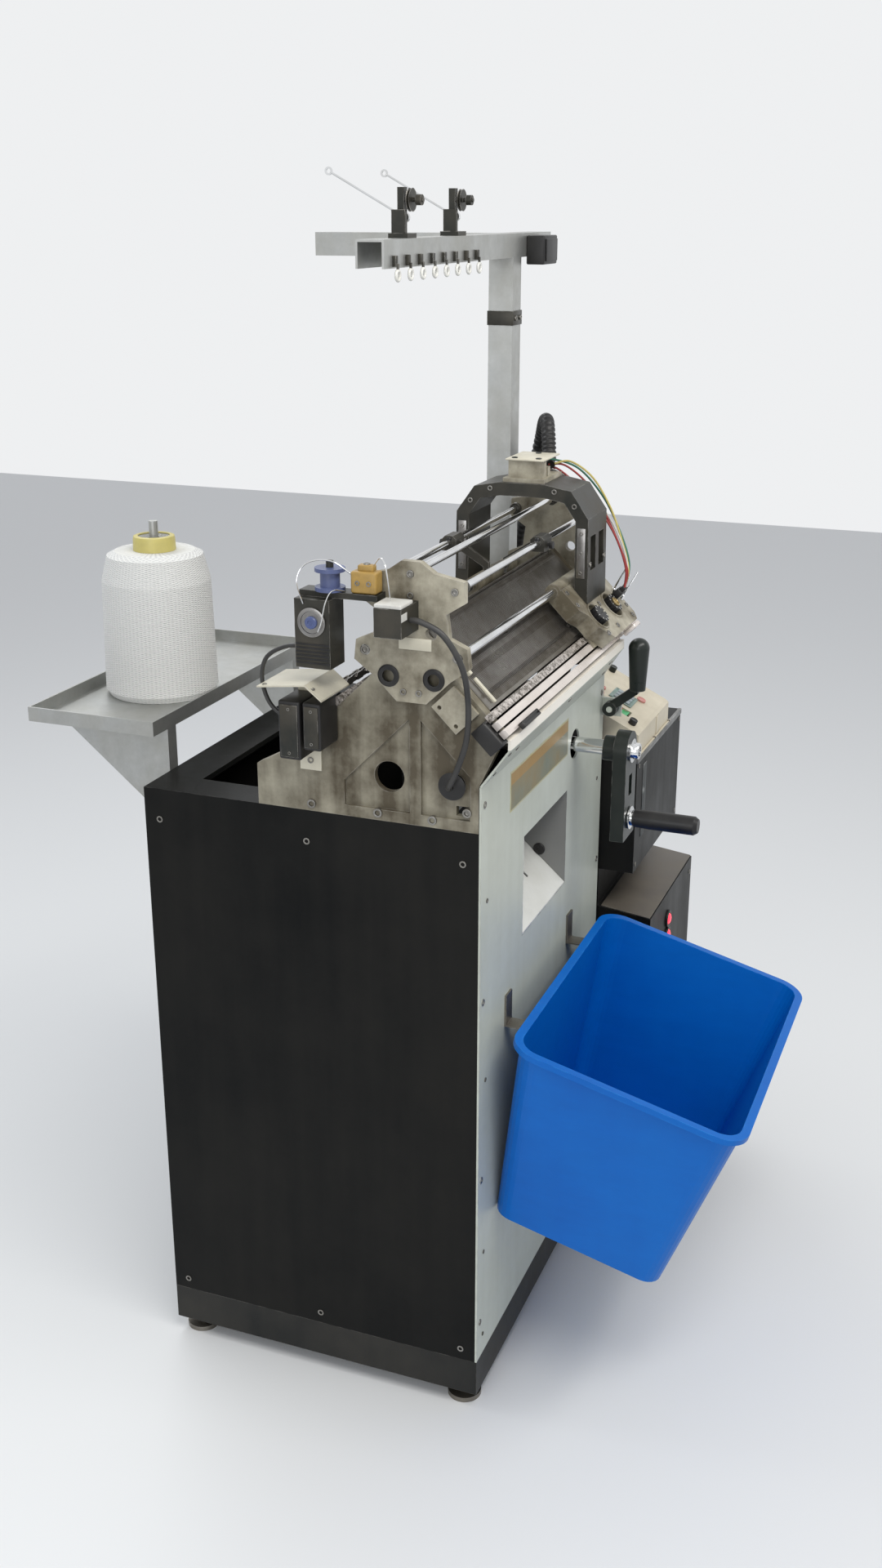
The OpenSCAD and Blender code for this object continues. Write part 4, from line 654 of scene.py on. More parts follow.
def dress(piece, name, slot, body="root", finish=None):
    """Names a piece, or several as one, gives it its finish and lets it ride on its body."""
    if isinstance(piece, list):
        piece = join(piece)
    settle(piece)
    piece.name = name
    piece.data.materials.clear()
    piece.data.materials.append(finishes[finish or slot])
    make_active(piece)
    bpy.ops.object.shade_smooth_by_angle(angle=math.radians(35))
    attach(piece, body)
    return piece


print("modelling steps ready")

# %% [markdown]
# Dozens of socket screws hold covers, castings and rails. A real one is a turned head with a round recess, so one
# is turned here from a cylinder: its top is inset, pushed in, and its rims are bevelled. It is then copied to each
# place, and all the screws of one body become one piece.

# %% Socket screw
screw_master = cylinder(18, 1, 1, (0, 0, 0))
sink(screw_master, 0.42, (0, 0, -0.6))
bevel(screw_master, 0.09)


def screws(name, places, slot="steel_parts", body="root", finish=None):
    """Copies of the screw at (x, y, z, direction, radius, height) in the machine's millimetres."""
    made = []
    for x, y, z, direction, radius, height in places:
        made.append(point_along(twin(screw_master), (x, y, z), direction))
        made[-1].scale = (radius / 1000, radius / 1000, height / 1000)
    dress(made, name, slot, body, finish or ("screw_steel" if slot == "steel_parts" else slot))
    print(name, len(places), "screws")


# %% Screws of the covers and frames
places = [(x, 0, z, FRONT, 5, 2.6) for x in (13, 579) for z in (150, 400, 690, 985)]
places += [(x, -29, 1054, (0, -0.82, -0.57), 4, 2.2) for x in (60, 300, 520)]
places += [(0, y, z, LEFT, 6.5, 6) for y, z in ((20, 975), (70, 958), (150, 958), (250, 958), (96, 1170))]
places += [(600, y, z, RIGHT, 6.5, 6) for y, z in ((20, 975), (70, 958), (250, 958), (96, 1170))]
screws("cover_and_frame_screws", places)

# %% [markdown]
# The two beds slope at forty-five degrees down from the throat. A block that lies on a slope is made flat, in the
# slope's own measure, and then turned and carried to the throat as one object.

# %% Blocks on the slope
THROAT = at(0, 95, 1217)
SLOPE = math.radians(45)


def slope_block(*shape):
    return block(*shape, measure=sloped)


def onto_slope(piece):
    """Turns a piece made in the slope's measure and carries it to the throat."""
    return carry(piece, SLOPE, THROAT)


print("throat at", tuple(round(v, 3) for v in THROAT))

# %% [markdown]
# Black plastic catches hold the slide bars at their left end: a thick one under the bars and a slim one lying
# along the lowest bar. Each is a block whose top is inset and sunk, like a moulding.

# %% Rail catches
catches = [slope_block((-22, 148, -26), (-0.3, 188, -1.3), 1.6), slope_block((30, 179.5, 9.1), (96, 189, 17), 1.6)]
for catch in catches:
    sink(catch, 0.0026, (0, 0, -0.0016))
    onto_slope(catch)
rail_catches = dress(catches, "rail_catches", "black_plastic")
print("rail catches", len(rail_catches.data.polygons), "faces")

# %% [markdown]
# The beige housing carries a small keypad on its sloping top. The keypad is a thin grey-green plate with six soft
# keys, and three worn pink push buttons and a black one sit beside it. Nothing is written on any of them.

# %% Keypad and push buttons
PANEL_TILT = math.atan2(57, 118)
PANEL_FOOT = at(614, -50, 911.3)
KEY_WIDTH, KEY_LENGTH = 11, 14


def onto_panel(piece):
    """Carries a piece made flat around the origin to the sloping top of the housing."""
    return carry(piece, PANEL_TILT, PANEL_FOOT)


def flat_block(*shape):
    return block(*shape, measure=flat)


def push_button(x, y, radius, height):
    """A round push button with a dished top, standing on the origin plane, in millimetres."""
    made = cylinder(32, radius / 1000, height / 1000, (x / 1000, y / 1000, height / 2000))
    sink(made, radius * 0.00022, (0, 0, -0.0008))
    bevel(made, 0.0004)
    return made


pad = flat_block((82, 34, 0), (132, 78, 2.2), 1)
sink(pad, 0.002, (0, 0, -0.0006), lambda centre, normal: normal.z > 0.95 and centre.z > 0.002)
dress(onto_panel(pad), "panel_keypad", "black_plastic", finish="keypad_green")
keys = [flat_block((x, y, 1), (x + KEY_WIDTH, y + KEY_LENGTH, 4.2), 1.4) for x in (87, 101, 115) for y in (40, 57)]
dress(onto_panel(join(keys)), "panel_keys", "black_plastic", finish="key_grey")
pinks = [push_button(140, 30, 8, 3.5), push_button(74, 92, 7, 3), push_button(98, 96, 7, 3)]
dress(onto_panel(join(pinks)), "panel_buttons", "black_plastic", finish="button_pink")
dress(onto_panel(push_button(26, 14, 7, 9)), "panel_black_button", "black_plastic")
print("keypad with", len(keys), "keys")

# %% [markdown]
# Two red signal lamps glow on the narrow front of the lower cabinet. Each has a black collar and a domed lens: the
# dome is the top half of a sphere, flattened, and its light comes from an emission that is even all over.

# %% Red signal lamps
LAMP_X, LAMP_FRONT = 730, -95
finishes["lamp_red"], tree, shader = new_material("lamp_red")
flecks = span(tree, use_group(tree, grain_group, Scale=900)["Fleck"], 0, 0.5, 0.3, 0.7)
fill(tree, shader, Base_Color=mix_colour(tree, flecks, (0.85, 0.02, 0.03), (0.6, 0.01, 0.02)), Roughness=0.18,
     Emission_Color=(1, 0.03, 0.06), Emission_Strength=2.2)
lenses, collars = [], []
for z in (530, 498):
    bpy.ops.mesh.primitive_uv_sphere_add(segments=32, ring_count=16, radius=0.0105, location=(0, 0, 0))
    lens = bpy.context.object
    lens.scale = (1, 1, 0.55)
    settle(lens)
    edit_all(lens)
    bpy.ops.mesh.bisect(plane_co=(0, 0, -0.0008), plane_no=(0, 0, 1), clear_inner=True, use_fill=True)
    leave_edit()
    lenses.append(carry(lens, UPRIGHT, at(LAMP_X, LAMP_FRONT - 1.2, z)))
    collar = cylinder(40, 0.0158, 0.004, (0, 0, 0.002))
    sink(collar, 0.005, (0, 0, -0.003))
    bevel(collar, 0.0006)
    collars.append(carry(collar, UPRIGHT, at(LAMP_X, LAMP_FRONT, z)))
dress(lenses, "signal_lamp_lenses", "breaker_plastic", finish="lamp_red")
dress(collars, "signal_lamp_collars", "black_plastic")
print("two signal lamps")

# %% [markdown]
# Bare plates lie on the box: two grey ones on the side door and a worn white one down the front. They are thin
# blocks whose edges are rounded a little.

# %% Bare plates
door_plates = [block((910, 150, 692), (911.2, 226, 742), 0.5, 2), block((910, 240, 742), (911.2, 300, 822), 0.5, 2)]
dress(door_plates, "door_plates", "beige_plastic", "box_door", "plate_grey")
dress(block((640, -61, 716), (662, -60, 848), 0.4, 2), "box_front_plate", "beige_plastic", finish="plate_white")
print("three bare plates")

# %% [markdown]
# Folded steel sheet has a bright rubbed rim. Thin angle strips close the top edges of the box, and a flat lid lies
# on the slope of the lower cabinet, in a browner paint than the rest.

# %% Box edge strips and cabinet lid
strips = [block((600, -62, 862), (906, -60, 871.2), 0.7, 2), block((600, -61, 870), (906, -56.2, 871.4), 0.5, 2),
          block((598.6, -62, 862), (600, 360, 871.2), 0.6, 2)]
dress(strips, "box_edge_strips", "black_sheet", finish="strip_steel")
lid = carry(flat_block((0, 0, 0), (308, 88, 2.4), 1, 2), math.atan2(12, 95), at(601, -93, 582.4))
dress(lid, "cabinet_lid", "black_sheet", finish="lid_brown")
print("strips and lid")

# %% [markdown]
# The crank's hub is held by a bright bolt with a washer, and the grip has a chrome washer at its root. Both are
# turned parts, so their outline is spun once round the axis.

# %% Turned parts


def turned(outline, place, direction, sides=40):
    """Spins an outline of (radius, height) points in millimetres into a closed turned part."""
    corners = [(radius / 1000, 0, height / 1000) for radius, height in outline]
    made = from_points("turned", corners, edges=[(i, i + 1) for i in range(len(corners) - 1)])
    edit_all(made)
    bpy.ops.mesh.spin(steps=sides, angle=math.tau, center=(0, 0, 0), axis=(0, 0, 1))
    bpy.ops.mesh.select_all(action="SELECT")
    bpy.ops.mesh.remove_doubles(threshold=0.00002)
    leave_edit()
    turn_outwards(made)
    return settle(point_along(made, place, direction))


crank_bolt = turned([(0, 0), (19, 0), (19, 2.5), (13, 2.5), (13, 11), (12, 12.5), (8, 12.5), (8, 6), (0, 6)],
                    (431, -92.2, 942), FRONT)
dress(crank_bolt, "crank_bolt", "chrome_rod", "crank_shaft")
grip_washer = turned([(0, 0), (17.5, 0), (18.5, 1), (18.5, 3), (17, 4), (13, 4), (13, 7), (12, 8), (0, 8)],
                     (431, -92.4, 831), FRONT)
dress(grip_washer, "grip_washer", "chrome_rod", "grip")
print("crank bolt", len(crank_bolt.data.polygons), "faces")

# %% [markdown]
# Each stitch knob is black with a row of small white marks round its rim. The marks are small raised blocks set
# round the knob in the slope's measure.

# %% Knob marks
MARKS, KNOB_DOWN = 10, 136
for body, knob_x in (("left_knob", 436), ("right_knob", 512)):
    marks = []
    for i in range(MARKS):
        mark = flat_block((11.2, -0.5, 48.1), (14.4, 0.5, 48.6), 0.15, 1)
        mark.rotation_euler = (0, 0, math.tau * i / MARKS)
        mark.location = sloped(knob_x, KNOB_DOWN, 0)
        marks.append(settle(mark))
    dress(onto_slope(join(marks)), body + "_marks", "breaker_plastic", body, "mark_white")
print("knob marks on two knobs")

# %% [markdown]
# The corrugated conduit stands on the box and arches over to the moving carriage. It is one tube swept along a
# smooth curve, with a ridge every few millimetres, and it takes the place of the plain tube of the CAD model. Its
# lower end stands on the box and its upper end reaches the carriage, and the tube itself stays still.

# %% Tubes along a curve


def smooth_path(points, step):
    """Points step metres apart along a smooth curve through the given points (Catmull-Rom)."""
    ends = [points[0] * 2 - points[1]] + list(points) + [points[-1] * 2 - points[-2]]
    fine = []
    for a, b, c, d in zip(ends, ends[1:], ends[2:], ends[3:]):
        for i in range(40):
            t = i / 40
            fine.append(0.5 * (2 * b + (c - a) * t + (2 * a - 5 * b + 4 * c - d) * t * t
                               + (3 * b - a - 3 * c + d) * t ** 3))
    fine.append(points[-1])
    even, walked = [fine[0]], 0
    for first, second in zip(fine, fine[1:]):
        walked += (second - first).length
        if walked >= step:
            even.append(second)
            walked = 0
    if (even[-1] - fine[-1]).length > step * 0.4:
        even.append(fine[-1])
    return even


def sweep(name, route, step, radii, sides):
    """A closed tube along a route in the machine's millimetres; its radii take turns from ring to ring."""
    path = smooth_path([at(*point) for point in route], step)
    side = (path[1] - path[0]).orthogonal().normalized()
    points, faces = [], []
    for i, point in enumerate(path):
        ahead = (path[min(i + 1, len(path) - 1)] - path[max(i - 1, 0)]).normalized()
        side = (side - ahead * side.dot(ahead)).normalized()
        over = ahead.cross(side)
        low, high = (i - 1) * sides, i * sides
        for k in range(sides):
            angle = math.tau * k / sides
            points.append(point + (side * math.cos(angle) + over * math.sin(angle)) * radii[i % len(radii)])
            if i:
                after = (k + 1) % sides
                faces.append((low + k, low + after, high + after, high + k))
    faces.append(tuple(range(sides))[::-1])
    faces.append(tuple(range(len(points) - sides, len(points))))
    print(name, round(sum((b - a).length for a, b in zip(path, path[1:])), 3), "m long")
    return turn_outwards(from_points(name, points, faces=faces))


# %% Conduit from the box to the carriage
CONDUIT_ROUTE = [
    (700, 225, 870.3), (700, 225, 900), (706, 221, 970), (708, 210, 1060), (704, 196, 1160), (694, 176, 1250),
    (678, 156, 1325), (656, 138, 1380), (628, 124, 1410), (602, 112, 1416), (582, 103, 1400), (570, 97, 1370),
    (560, 95, 1346), (548, 95, 1334), (532.3, 95, 1334)]
RIDGE, GROOVE = 0.0115, 0.0100
conduit = sweep("corrugated_conduit", CONDUIT_ROUTE, 0.0016, (RIDGE, RIDGE, GROOVE, GROOVE), 20)
conduit.data.materials.append(finishes["black_plastic"])
make_active(conduit)
bpy.ops.object.shade_smooth_by_angle(angle=math.radians(50))
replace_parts(conduit, "conduits")
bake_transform(conduit)

# %% [markdown]
# Two thinner leads stay still: a smooth rubber one from the box to the right bracket, and a sensor lead that hangs
# down the left ear and turns into a grommet. They are swept in the same way, with no ridges.

# %% Rubber leads
LEAD_ROUTE = [
    (734, 262, 870.3), (734, 262, 900), (738, 255, 980), (742, 235, 1080), (738, 205, 1170), (722, 172, 1236),
    (694, 148, 1268), (666, 134, 1264), (646, 126, 1247), (632, 124, 1238), (612.3, 124, 1238)]
SENSOR_ROUTE = [
    (-41, 83.7, 1243), (-41, 70, 1242), (-38, 40, 1226), (-34, 16, 1186), (-32, 8, 1140), (-31, 10, 1090),
    (-30, 22, 1050), (-24, 36, 1020), (-10, 42, 1010), (6, 42, 1010)]
for name, route, radius in (("bracket_lead", LEAD_ROUTE, 0.006), ("sensor_lead", SENSOR_ROUTE, 0.004)):
    lead = sweep(name, route, 0.006, [radius], 16)
    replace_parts(dress(lead, name, "black_plastic", finish="lead_rubber"), "conduits")

# %% [markdown]
# The leads enter the box through glands. A gland is a six-sided nut with a turned collar above it, and the seat of
# the conduit is the larger of the two. Small connector blocks and a bright angle stand on the box beside them.

# %% Cable glands and box connectors
BOX_TOP, NUT_HEIGHT = 870, 7
glands = []
for x, y, radius in ((700, 225, 12), (734, 262, 6.5)):
    nut = cylinder(6, (radius + 8) / 1000, NUT_HEIGHT / 1000, at(x, y, BOX_TOP + NUT_HEIGHT / 2))
    bevel(nut, (radius + 8) / 12000)
    glands += [nut, turned([(radius, 7), (radius + 5, 7), (radius + 4, 18), (radius + 1.5, 22), (radius, 22),
                            (radius, 7)], (x, y, BOX_TOP), UP)]
dress(glands, "cable_glands", "black_plastic")
connectors = [block((772, 210, 870), (806, 232, 892), 1.8), block((776, 214, 892), (802, 228, 900), 1.2),
              block((772, 244, 870), (806, 266, 888), 1.8), block((640, 262, 870), (668, 290, 884), 1.5)]
dress(connectors, "box_connectors", "black_plastic")
clamp = [block((836, 96, 870), (842, 150, 908), 0.8, 2), block((836, 96, 870), (868, 150, 874), 0.8, 2)]
dress(clamp, "box_angle", "chrome_rod")
places = [(855, y, 874, UP, 4, 3) for y in (108, 138)]
places += [(x, y, BOX_TOP, UP, 4, 2.4) for x in (612, 896) for y in (200, 345)]
places += [(x, -60, z, FRONT, 4, 2.2) for x in (612, 896) for z in (676, 854)]
screws("box_top_screws", places)

# %% [markdown]
# Needles are the fine comb of the machine. One latch needle is drawn from the side, with its hook, its latch and
# its two butts, thickened to a blade of a millimetre and repeated along the bed. The row on the rear bed is the
# same row turned half round the throat. Thin steel walls stand between the needles and guide them.

# %% Needles and bed walls
NEEDLE_SIDE = [
    (124, 0), (5, 0), (3.2, 0.5), (2.2, 1.6), (2.4, 2.8), (3.6, 3.4), (5, 3.1), (5.5, 2.4), (4.8, 2.2), (4, 2.6),
    (3.4, 2.2), (3.3, 1.5), (4.2, 1.2), (7, 1.3), (14, 2.5), (15.4, 2.1), (9.5, 1.1), (60, 1.3), (67.2, 1.6),
    (68.5, 2.2), (68.5, 5.8), (74, 5.8), (74, 1.6), (112, 1.4), (119, 1.6), (119, 4.8), (124, 4.8)]
NEEDLE_FIRST, NEEDLE_PITCH, NEEDLE_COUNT = 32, 4, 135


def slope_row(outline, thickness, first, count):
    """A flat outline in (u, n) thickened along x and repeated every needle pitch on the front slope."""
    row = from_points("row", [sloped(first - thickness / 2, u, n) for u, n in outline], faces=[range(len(outline))])
    edit_all(row)
    bpy.ops.mesh.extrude_region_move(TRANSFORM_OT_translate={"value": (thickness / 1000, 0, 0)})
    leave_edit()
    turn_outwards(row)
    apply_modifier(row, "ARRAY", count=count, use_relative_offset=False, use_constant_offset=True,
                   constant_offset_displace=(NEEDLE_PITCH / 1000, 0, 0))
    return onto_slope(row)


def half_turn(piece):
    """A copy of a piece on the front bed, turned half round the throat to the rear bed."""
    copy = twin(piece)
    pivot = at(300, 95, 0)
    copy.matrix_world = Matrix.Translation(pivot) @ Matrix.Rotation(math.pi, 4, "Z") @ Matrix.Translation(-pivot)
    return settle(copy)


front_row = slope_row(NEEDLE_SIDE, 1, NEEDLE_FIRST, NEEDLE_COUNT)
rear_row = half_turn(front_row)
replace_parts(dress(front_row, "front_needle_row", "needle_steel"), "front_needles")
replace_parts(dress(rear_row, "rear_needle_row", "needle_steel"), "rear_needles")
walls = []
for start, end in ((8, 83), (92, 136)):
    outline = [(start + 2, 1.1), (end - 0.8, 1.1), (end, -0.2), (start, -0.2)]
    walls.append(slope_row(outline, 1.1, NEEDLE_FIRST + NEEDLE_PITCH / 2, NEEDLE_COUNT - 1))
front_walls = join(walls)
rear_walls = half_turn(front_walls)
dress(front_walls, "front_bed_walls", "steel_parts")
dress(rear_walls, "rear_bed_walls", "steel_parts")
print(NEEDLE_COUNT, "needles on each bed,", len(front_row.data.polygons), "faces a row")

# %% [markdown]
# The slide bar next to the bed is worn and mottled, unlike the two smooth ones beyond it. The bars are one node of
# the CAD model, so the difference is in their finish: it is masked by the distance from the throat.

# %% Mottled slide bar
MOTTLED_ABOVE = 0.156


def mottling(tree):
    """For overpaint: spots where the distance down the slope is small."""
    place = own_place(tree)
    axes = add_node(tree, "SeparateXYZ", place)
    sideways = calc(tree, "ABSOLUTE", calc(tree, "SUBTRACT", axes["Y"], THROAT.y))
    down = calc(tree, "SUBTRACT", sideways, axes["Z"])
    near = calc(tree, "LESS_THAN", down, MOTTLED_ABOVE * math.sqrt(2) - THROAT.z)
    spots = noise(tree, place, Scale=130, Detail=5, Roughness=0.75)
    return calc(tree, "MULTIPLY", near, span(tree, spots, 0.15, 0.95, 0.42, 0.58))


overpaint("ground_rail", (0.1, 0.085, 0.065), mottling)
print("mottled where the distance down the slope is under", MOTTLED_ABOVE, "m")

# %% [markdown]
# Each carriage casting is held by socket screws, square to its slope. The bridge is bolted on the castings, and two
# steel plates lie on its left side. Three slender pins stand at the right edge, with a polished slide block
# below them, and the right knob has a brass centre.

# %% Carriage screws, pins and slide block
SQUARE = (0, -1, 1)
BRIDGE_X, KNOBS_X = (444, 520), (436, 512)
places = [(*on_bed(x, u, 40), SQUARE, 4.2, 3.4) for x, u in (
    (400, 80), (564, 80), (400, 104), (564, 150), (474, 122), (474, 166), (424, 166), (556, 168))]
places += [(964 - x, 190 - y, z, (0, 1, 1), radius, height) for x, y, z, _, radius, height in places]
places += [(x, y, 1344, UP, 5, 4) for x in BRIDGE_X for y in (66, 124)]
places += [(x, y, 1226, way, 4, 3) for x in BRIDGE_X for y, way in ((-11.5, FRONT), (201.5, REAR))]
places += [(430.4, y, z, LEFT, 3, 3) for y in (-0.5, 190.5) for z in (1214, 1244, 1274)]
places += [(432, y, z, LEFT, 4, 3) for y, z in ((12, 1314), (178, 1314), (44, 1334), (146, 1334))]
side_plates = [block((430.4, y, 1206), (432, y + 13, 1282), 0.6, 2) for y in (-7, 184)]
dress(side_plates, "bridge_side_plates", "gear_steel", "carriage")
screws("carriage_screws", places, body="carriage")
pins = [turned([(0, 0), (3.4, 0), (3.4, 7), (1.7, 8), (1.5, length - 2), (0.9, length), (0, length)],
               on_bed(x, u, 39.6), (lean, -0.55, 1), 16)
        for x, u, lean, length in ((555, 120, -0.1, 46), (560, 130, 0.04, 40), (564, 138, 0.14, 52))]
dress(pins, "carriage_pins", "chrome_rod", "carriage")
slider = slope_block((536, 180, 14), (566, 187, 38), 1.4)
sink(slider, 0.003, (0, 0.0022, 0), lambda centre, normal: normal.y < -0.9)
slider_keep = slope_block((538, 177.6, 16), (564, 180.4, 36), 0.6, 1)
dress(onto_slope(join([slider, slider_keep])), "slide_block", "ground_rail", "carriage")
well_brass = turned([(0, 0), (7.6, 0), (8.2, 0.6), (8.2, 2), (5.4, 2.6), (5, 1.4), (0, 1.4)],
                    on_bed(KNOBS_X[1], KNOB_DOWN, 48.1), SQUARE)
dress(well_brass, "right_knob_centre", "steel_parts", "right_knob", "brass")
rims = [turned([(21.2, 0), (24.4, 0), (24, 1.6), (22.6, 2.2), (21.4, 1.6), (21.2, 0)], on_bed(x, KNOB_DOWN, 40),
               SQUARE) for x in KNOBS_X]
dress(rims, "knob_well_rims", "cream_casting", "carriage")
print("carriage fittings done")

# %% [markdown]
# A bundle of thin coloured wires leaves the selector on top of the bridge, hangs down beside it and ends in a
# small connector on the front casting. Everything on this bundle rides on the carriage.

# %% Selector plate and coloured wires
dress(block((441, 64.5, 1376), (523, 125.5, 1378.6), 0.9, 2), "selector_plate", "cream_sheet", "carriage")
screws("selector_screws", [(x, y, 1378.6, UP, 4.6, 3) for x, y in ((452, 76), (452, 114), (510, 95))],
       "black_enamel", "carriage")
WIRES = [
    ("yellow_wires", (0.62, 0.52, 0.16), [
        [(526, 74, 1362), (541, 52, 1364), (553, 20, 1340), (558, -8, 1296), (556, -28, 1250), (549, -44, 1204),
         (545, -42, 1173)]]),
    ("red_wires", (0.34, 0.035, 0.03), [
        [(526, 84, 1360), (538, 60, 1358), (547, 26, 1330), (549, -2, 1288), (547, -26, 1244), (545, -44, 1200),
         (541, -42, 1173)],
        [(526, 92, 1358), (535, 70, 1352), (543, 34, 1322), (545, 4, 1290), (543, -24, 1250), (541, -42, 1204),
         (539, -42, 1173)]]),
    ("green_wires", (0.03, 0.17, 0.11), [
        [(526, 100, 1361), (540, 84, 1366), (556, 44, 1352), (565, 6, 1310), (563, -24, 1258), (554, -44, 1210),
         (547, -42, 1173)]]),
    ("white_wires", (0.62, 0.62, 0.58), [
        [(526, 108, 1357), (536, 96, 1356), (549, 58, 1338), (556, 14, 1304), (553, -20, 1262), (547, -42, 1212),
         (543, -43, 1173)]]),
]
for name, colour, routes in WIRES:
    worn_finish(name, colour, [c * 0.35 for c in colour], cloud=50, dusty=0.7, bump=0.03)
    wires = [sweep(name, route, 0.005, [0.0016], 10) for route in routes]
    dress(wires, name, "black_plastic", "carriage", name)
plug = [slope_block((534, 122, 39.6), (553, 134, 58), 1.2), slope_block((537, 124, 57), (550, 132, 66), 0.8)]
dress(onto_slope(join(plug)), "wire_plug", "black_plastic", "carriage")
bushes = [turned([(0, 0), (6.4, 0), (6.4, 3), (4.6, 5), (0, 5)], (525.9, y, 1360), RIGHT) for y in (80, 101)]
dress(bushes, "selector_bushes", "black_plastic", "carriage")
print("bundles of wires", len(WIRES))

# %% [markdown]
# The two yoke-shaped brackets carry all the rods, and a bolt closes the end of each rod. Clamp collars sit on the
# rods near the brackets, outside the reach of the feeders and the carriage.

# %% Bracket bolts and rod collars
GUIDE_RODS = [(29.9, 1190.1), (160.1, 1190.1)]
FEEDER_RODS = [(34, 1277), (95, 1296), (156, 1277)]
BRACKETS = ((-12, LEFT), (612, RIGHT))
COLLARS_X = (12, 580)
places = []
for x, way in BRACKETS:
    places += [(x, y, z, way, 6.4, 4.5) for y, z in GUIDE_RODS] + [(x, y, z, way, 5, 4) for y, z in FEEDER_RODS]
    places += [(x, y, z, way, 4.4, 4) for y, z in ((95, 1268), (84, 1138), (106, 1138))]
screws("bracket_bolts", places)
collars = [turned([(5.1, 0), (8.6, 0), (9.2, 0.6), (9.2, 7.4), (8.6, 8), (5.1, 8), (5.1, 0)], (x, y, z), RIGHT)
           for y, z in FEEDER_RODS for x in COLLARS_X]
dress(collars, "rod_collars", "dark_metal")
screws("collar_screws", [(x + 4, y, z + 9, UP, 2.2, 1.6) for x in COLLARS_X for y, z in FEEDER_RODS], "chrome_rod")
CAP = [(0, 0), (4, 0), (4, 1.4), (2.4, 2.6), (0, 2.6)]
for body, x, y, side in (("first_feeder", 340, 34, -1), ("second_feeder", 300, 156, 1)):
    thumb = [turned([(0, 0), (2.2, 0), (2.2, 3), (5.2, 3), (5.6, 3.6), (5.6, 8), (5, 8.6), (0, 8.6)],
                    (x, y + side * 11, 1273), (0, side, 0), 24)]
    thumb += [turned(CAP, (x - 17, y, 1282), LEFT, 24), turned(CAP, (x + 17, y, 1282), RIGHT, 24)]
    dress(thumb, body + "_thumb_screw", "black_plastic", body)
print("bracket bolts, collars and thumb screws")

# %% [markdown]
# Small fixed parts of the frame: grommets in the holes of the ears, where cables pass, and a flat plate on the left
# ear.

# %% Grommets and ear fittings
grommets = [turned([(8.3, -2), (12.8, -2), (12.8, 0), (15.2, 0), (15.2, 1.2), (12.8, 2.6), (8.3, 2.2), (8.3, -2)],
                   (x, y, 1158), way) for x, way in BRACKETS for y in (63, 127)]
dress(grommets, "ear_grommets", "black_plastic")
dress(block((-12.9, 66, 1196), (-12, 112, 1212), 0.5, 2), "ear_plate", "cream_sheet")
sensor_gland = turned([(4.1, -3), (16.6, -3), (16.6, 0), (19, 0), (19.4, 1.4), (16, 3), (8, 4), (4.1, 5.4), (4.1, -3)],
                      (0, 42, 1010), LEFT)
dress(sensor_gland, "sensor_grommet", "black_plastic")
print("grommets", len(grommets) + 1)

# %% [markdown]
# The thread feed on the left ear has a black motor with a ring disc and a blue hub, a small ochre casting with its
# bolt, and a light box with a white lid. Thin bright wires lead the thread from one to the next, and the motor's
# black lead runs to the block under the roof.

# %% Thread feed fittings
FEED_HUB = (-56, 215, 1232)
casting = [block((-38, 132, 1270), (-15, 168, 1299), 3.2, 4), block((-33, 138, 1298), (-20, 160, 1307), 2.4, 4)]
dress(casting, "feed_casting", "cream_casting", finish="ochre_casting")
screws("feed_screws", [(-26.5, 149, 1307, UP, 4.4, 3.4)] + [(-38, y, 1284, LEFT, 3.4, 2.6) for y in (142, 158)])
disc = turned([(8.6, 0), (19, 0), (19.6, 0.8), (19.6, 2.8), (18.6, 3.4), (15, 3.4), (14.4, 2.2), (8.6, 2.2), (8.6, 0)],
              FEED_HUB, LEFT, 56)
dress(disc, "feed_disc", "gear_steel")
hub = turned([(0, 0), (8.4, 0), (8.4, 4.6), (7.4, 6), (4, 6), (3.4, 4.8), (0, 4.8)], FEED_HUB, LEFT)
dress(hub, "feed_hub", "blue_plastic")
ribs = [block((-57.2, 191, 1176 + 5 * i), (-56, 239, 1178.2 + 5 * i), 0.4, 1) for i in range(6)]
dress(ribs, "feed_motor_ribs", "black_plastic")
lid = [block((-69.8, 84.2, 1262), (-30, 121.8, 1267.4), 1.6), block((-69.9, 83.4, 1246), (-52, 84, 1256), 0.2, 1)]
dress(lid, "feed_box_lid", "beige_plastic", finish="box_white")
FEED_WIRES = [
    [(-58, 226, 1256), (-61, 233, 1282), (-57, 228, 1302), (-52, 212, 1312), (-46, 188, 1311), (-34, 166, 1293)],
    [(-27, 141, 1304), (-34, 128, 1318), (-46, 116, 1314), (-50, 110, 1292), (-49, 107, 1266)],
    [(-64, 203, 1222), (-68, 196, 1236), (-67, 190, 1262), (-58, 184, 1276), (-38, 176, 1272)]]
dress([sweep("feed_wires", route, 0.004, [0.0009], 8) for route in FEED_WIRES], "feed_wires", "chrome_rod")
MOTOR_ROUTE = [
    (-44, 236, 1196), (-44, 262, 1192), (-43, 290, 1174), (-40, 299, 1142), (-36, 290, 1108), (-33, 266, 1088)]
dress(sweep("feed_lead", MOTOR_ROUTE, 0.006, [0.003], 12), "feed_lead", "black_plastic", finish="lead_rubber")
print("thread feed fittings done")

# %% [markdown]
# A long label lies on the front cover, between its left edge and the crank. It is left bare: a thin grey-green sheet
# with a yellow border and an ochre band along its top. A black turned stop sits in the chute, and a row of small
# screws runs along the cover's border.

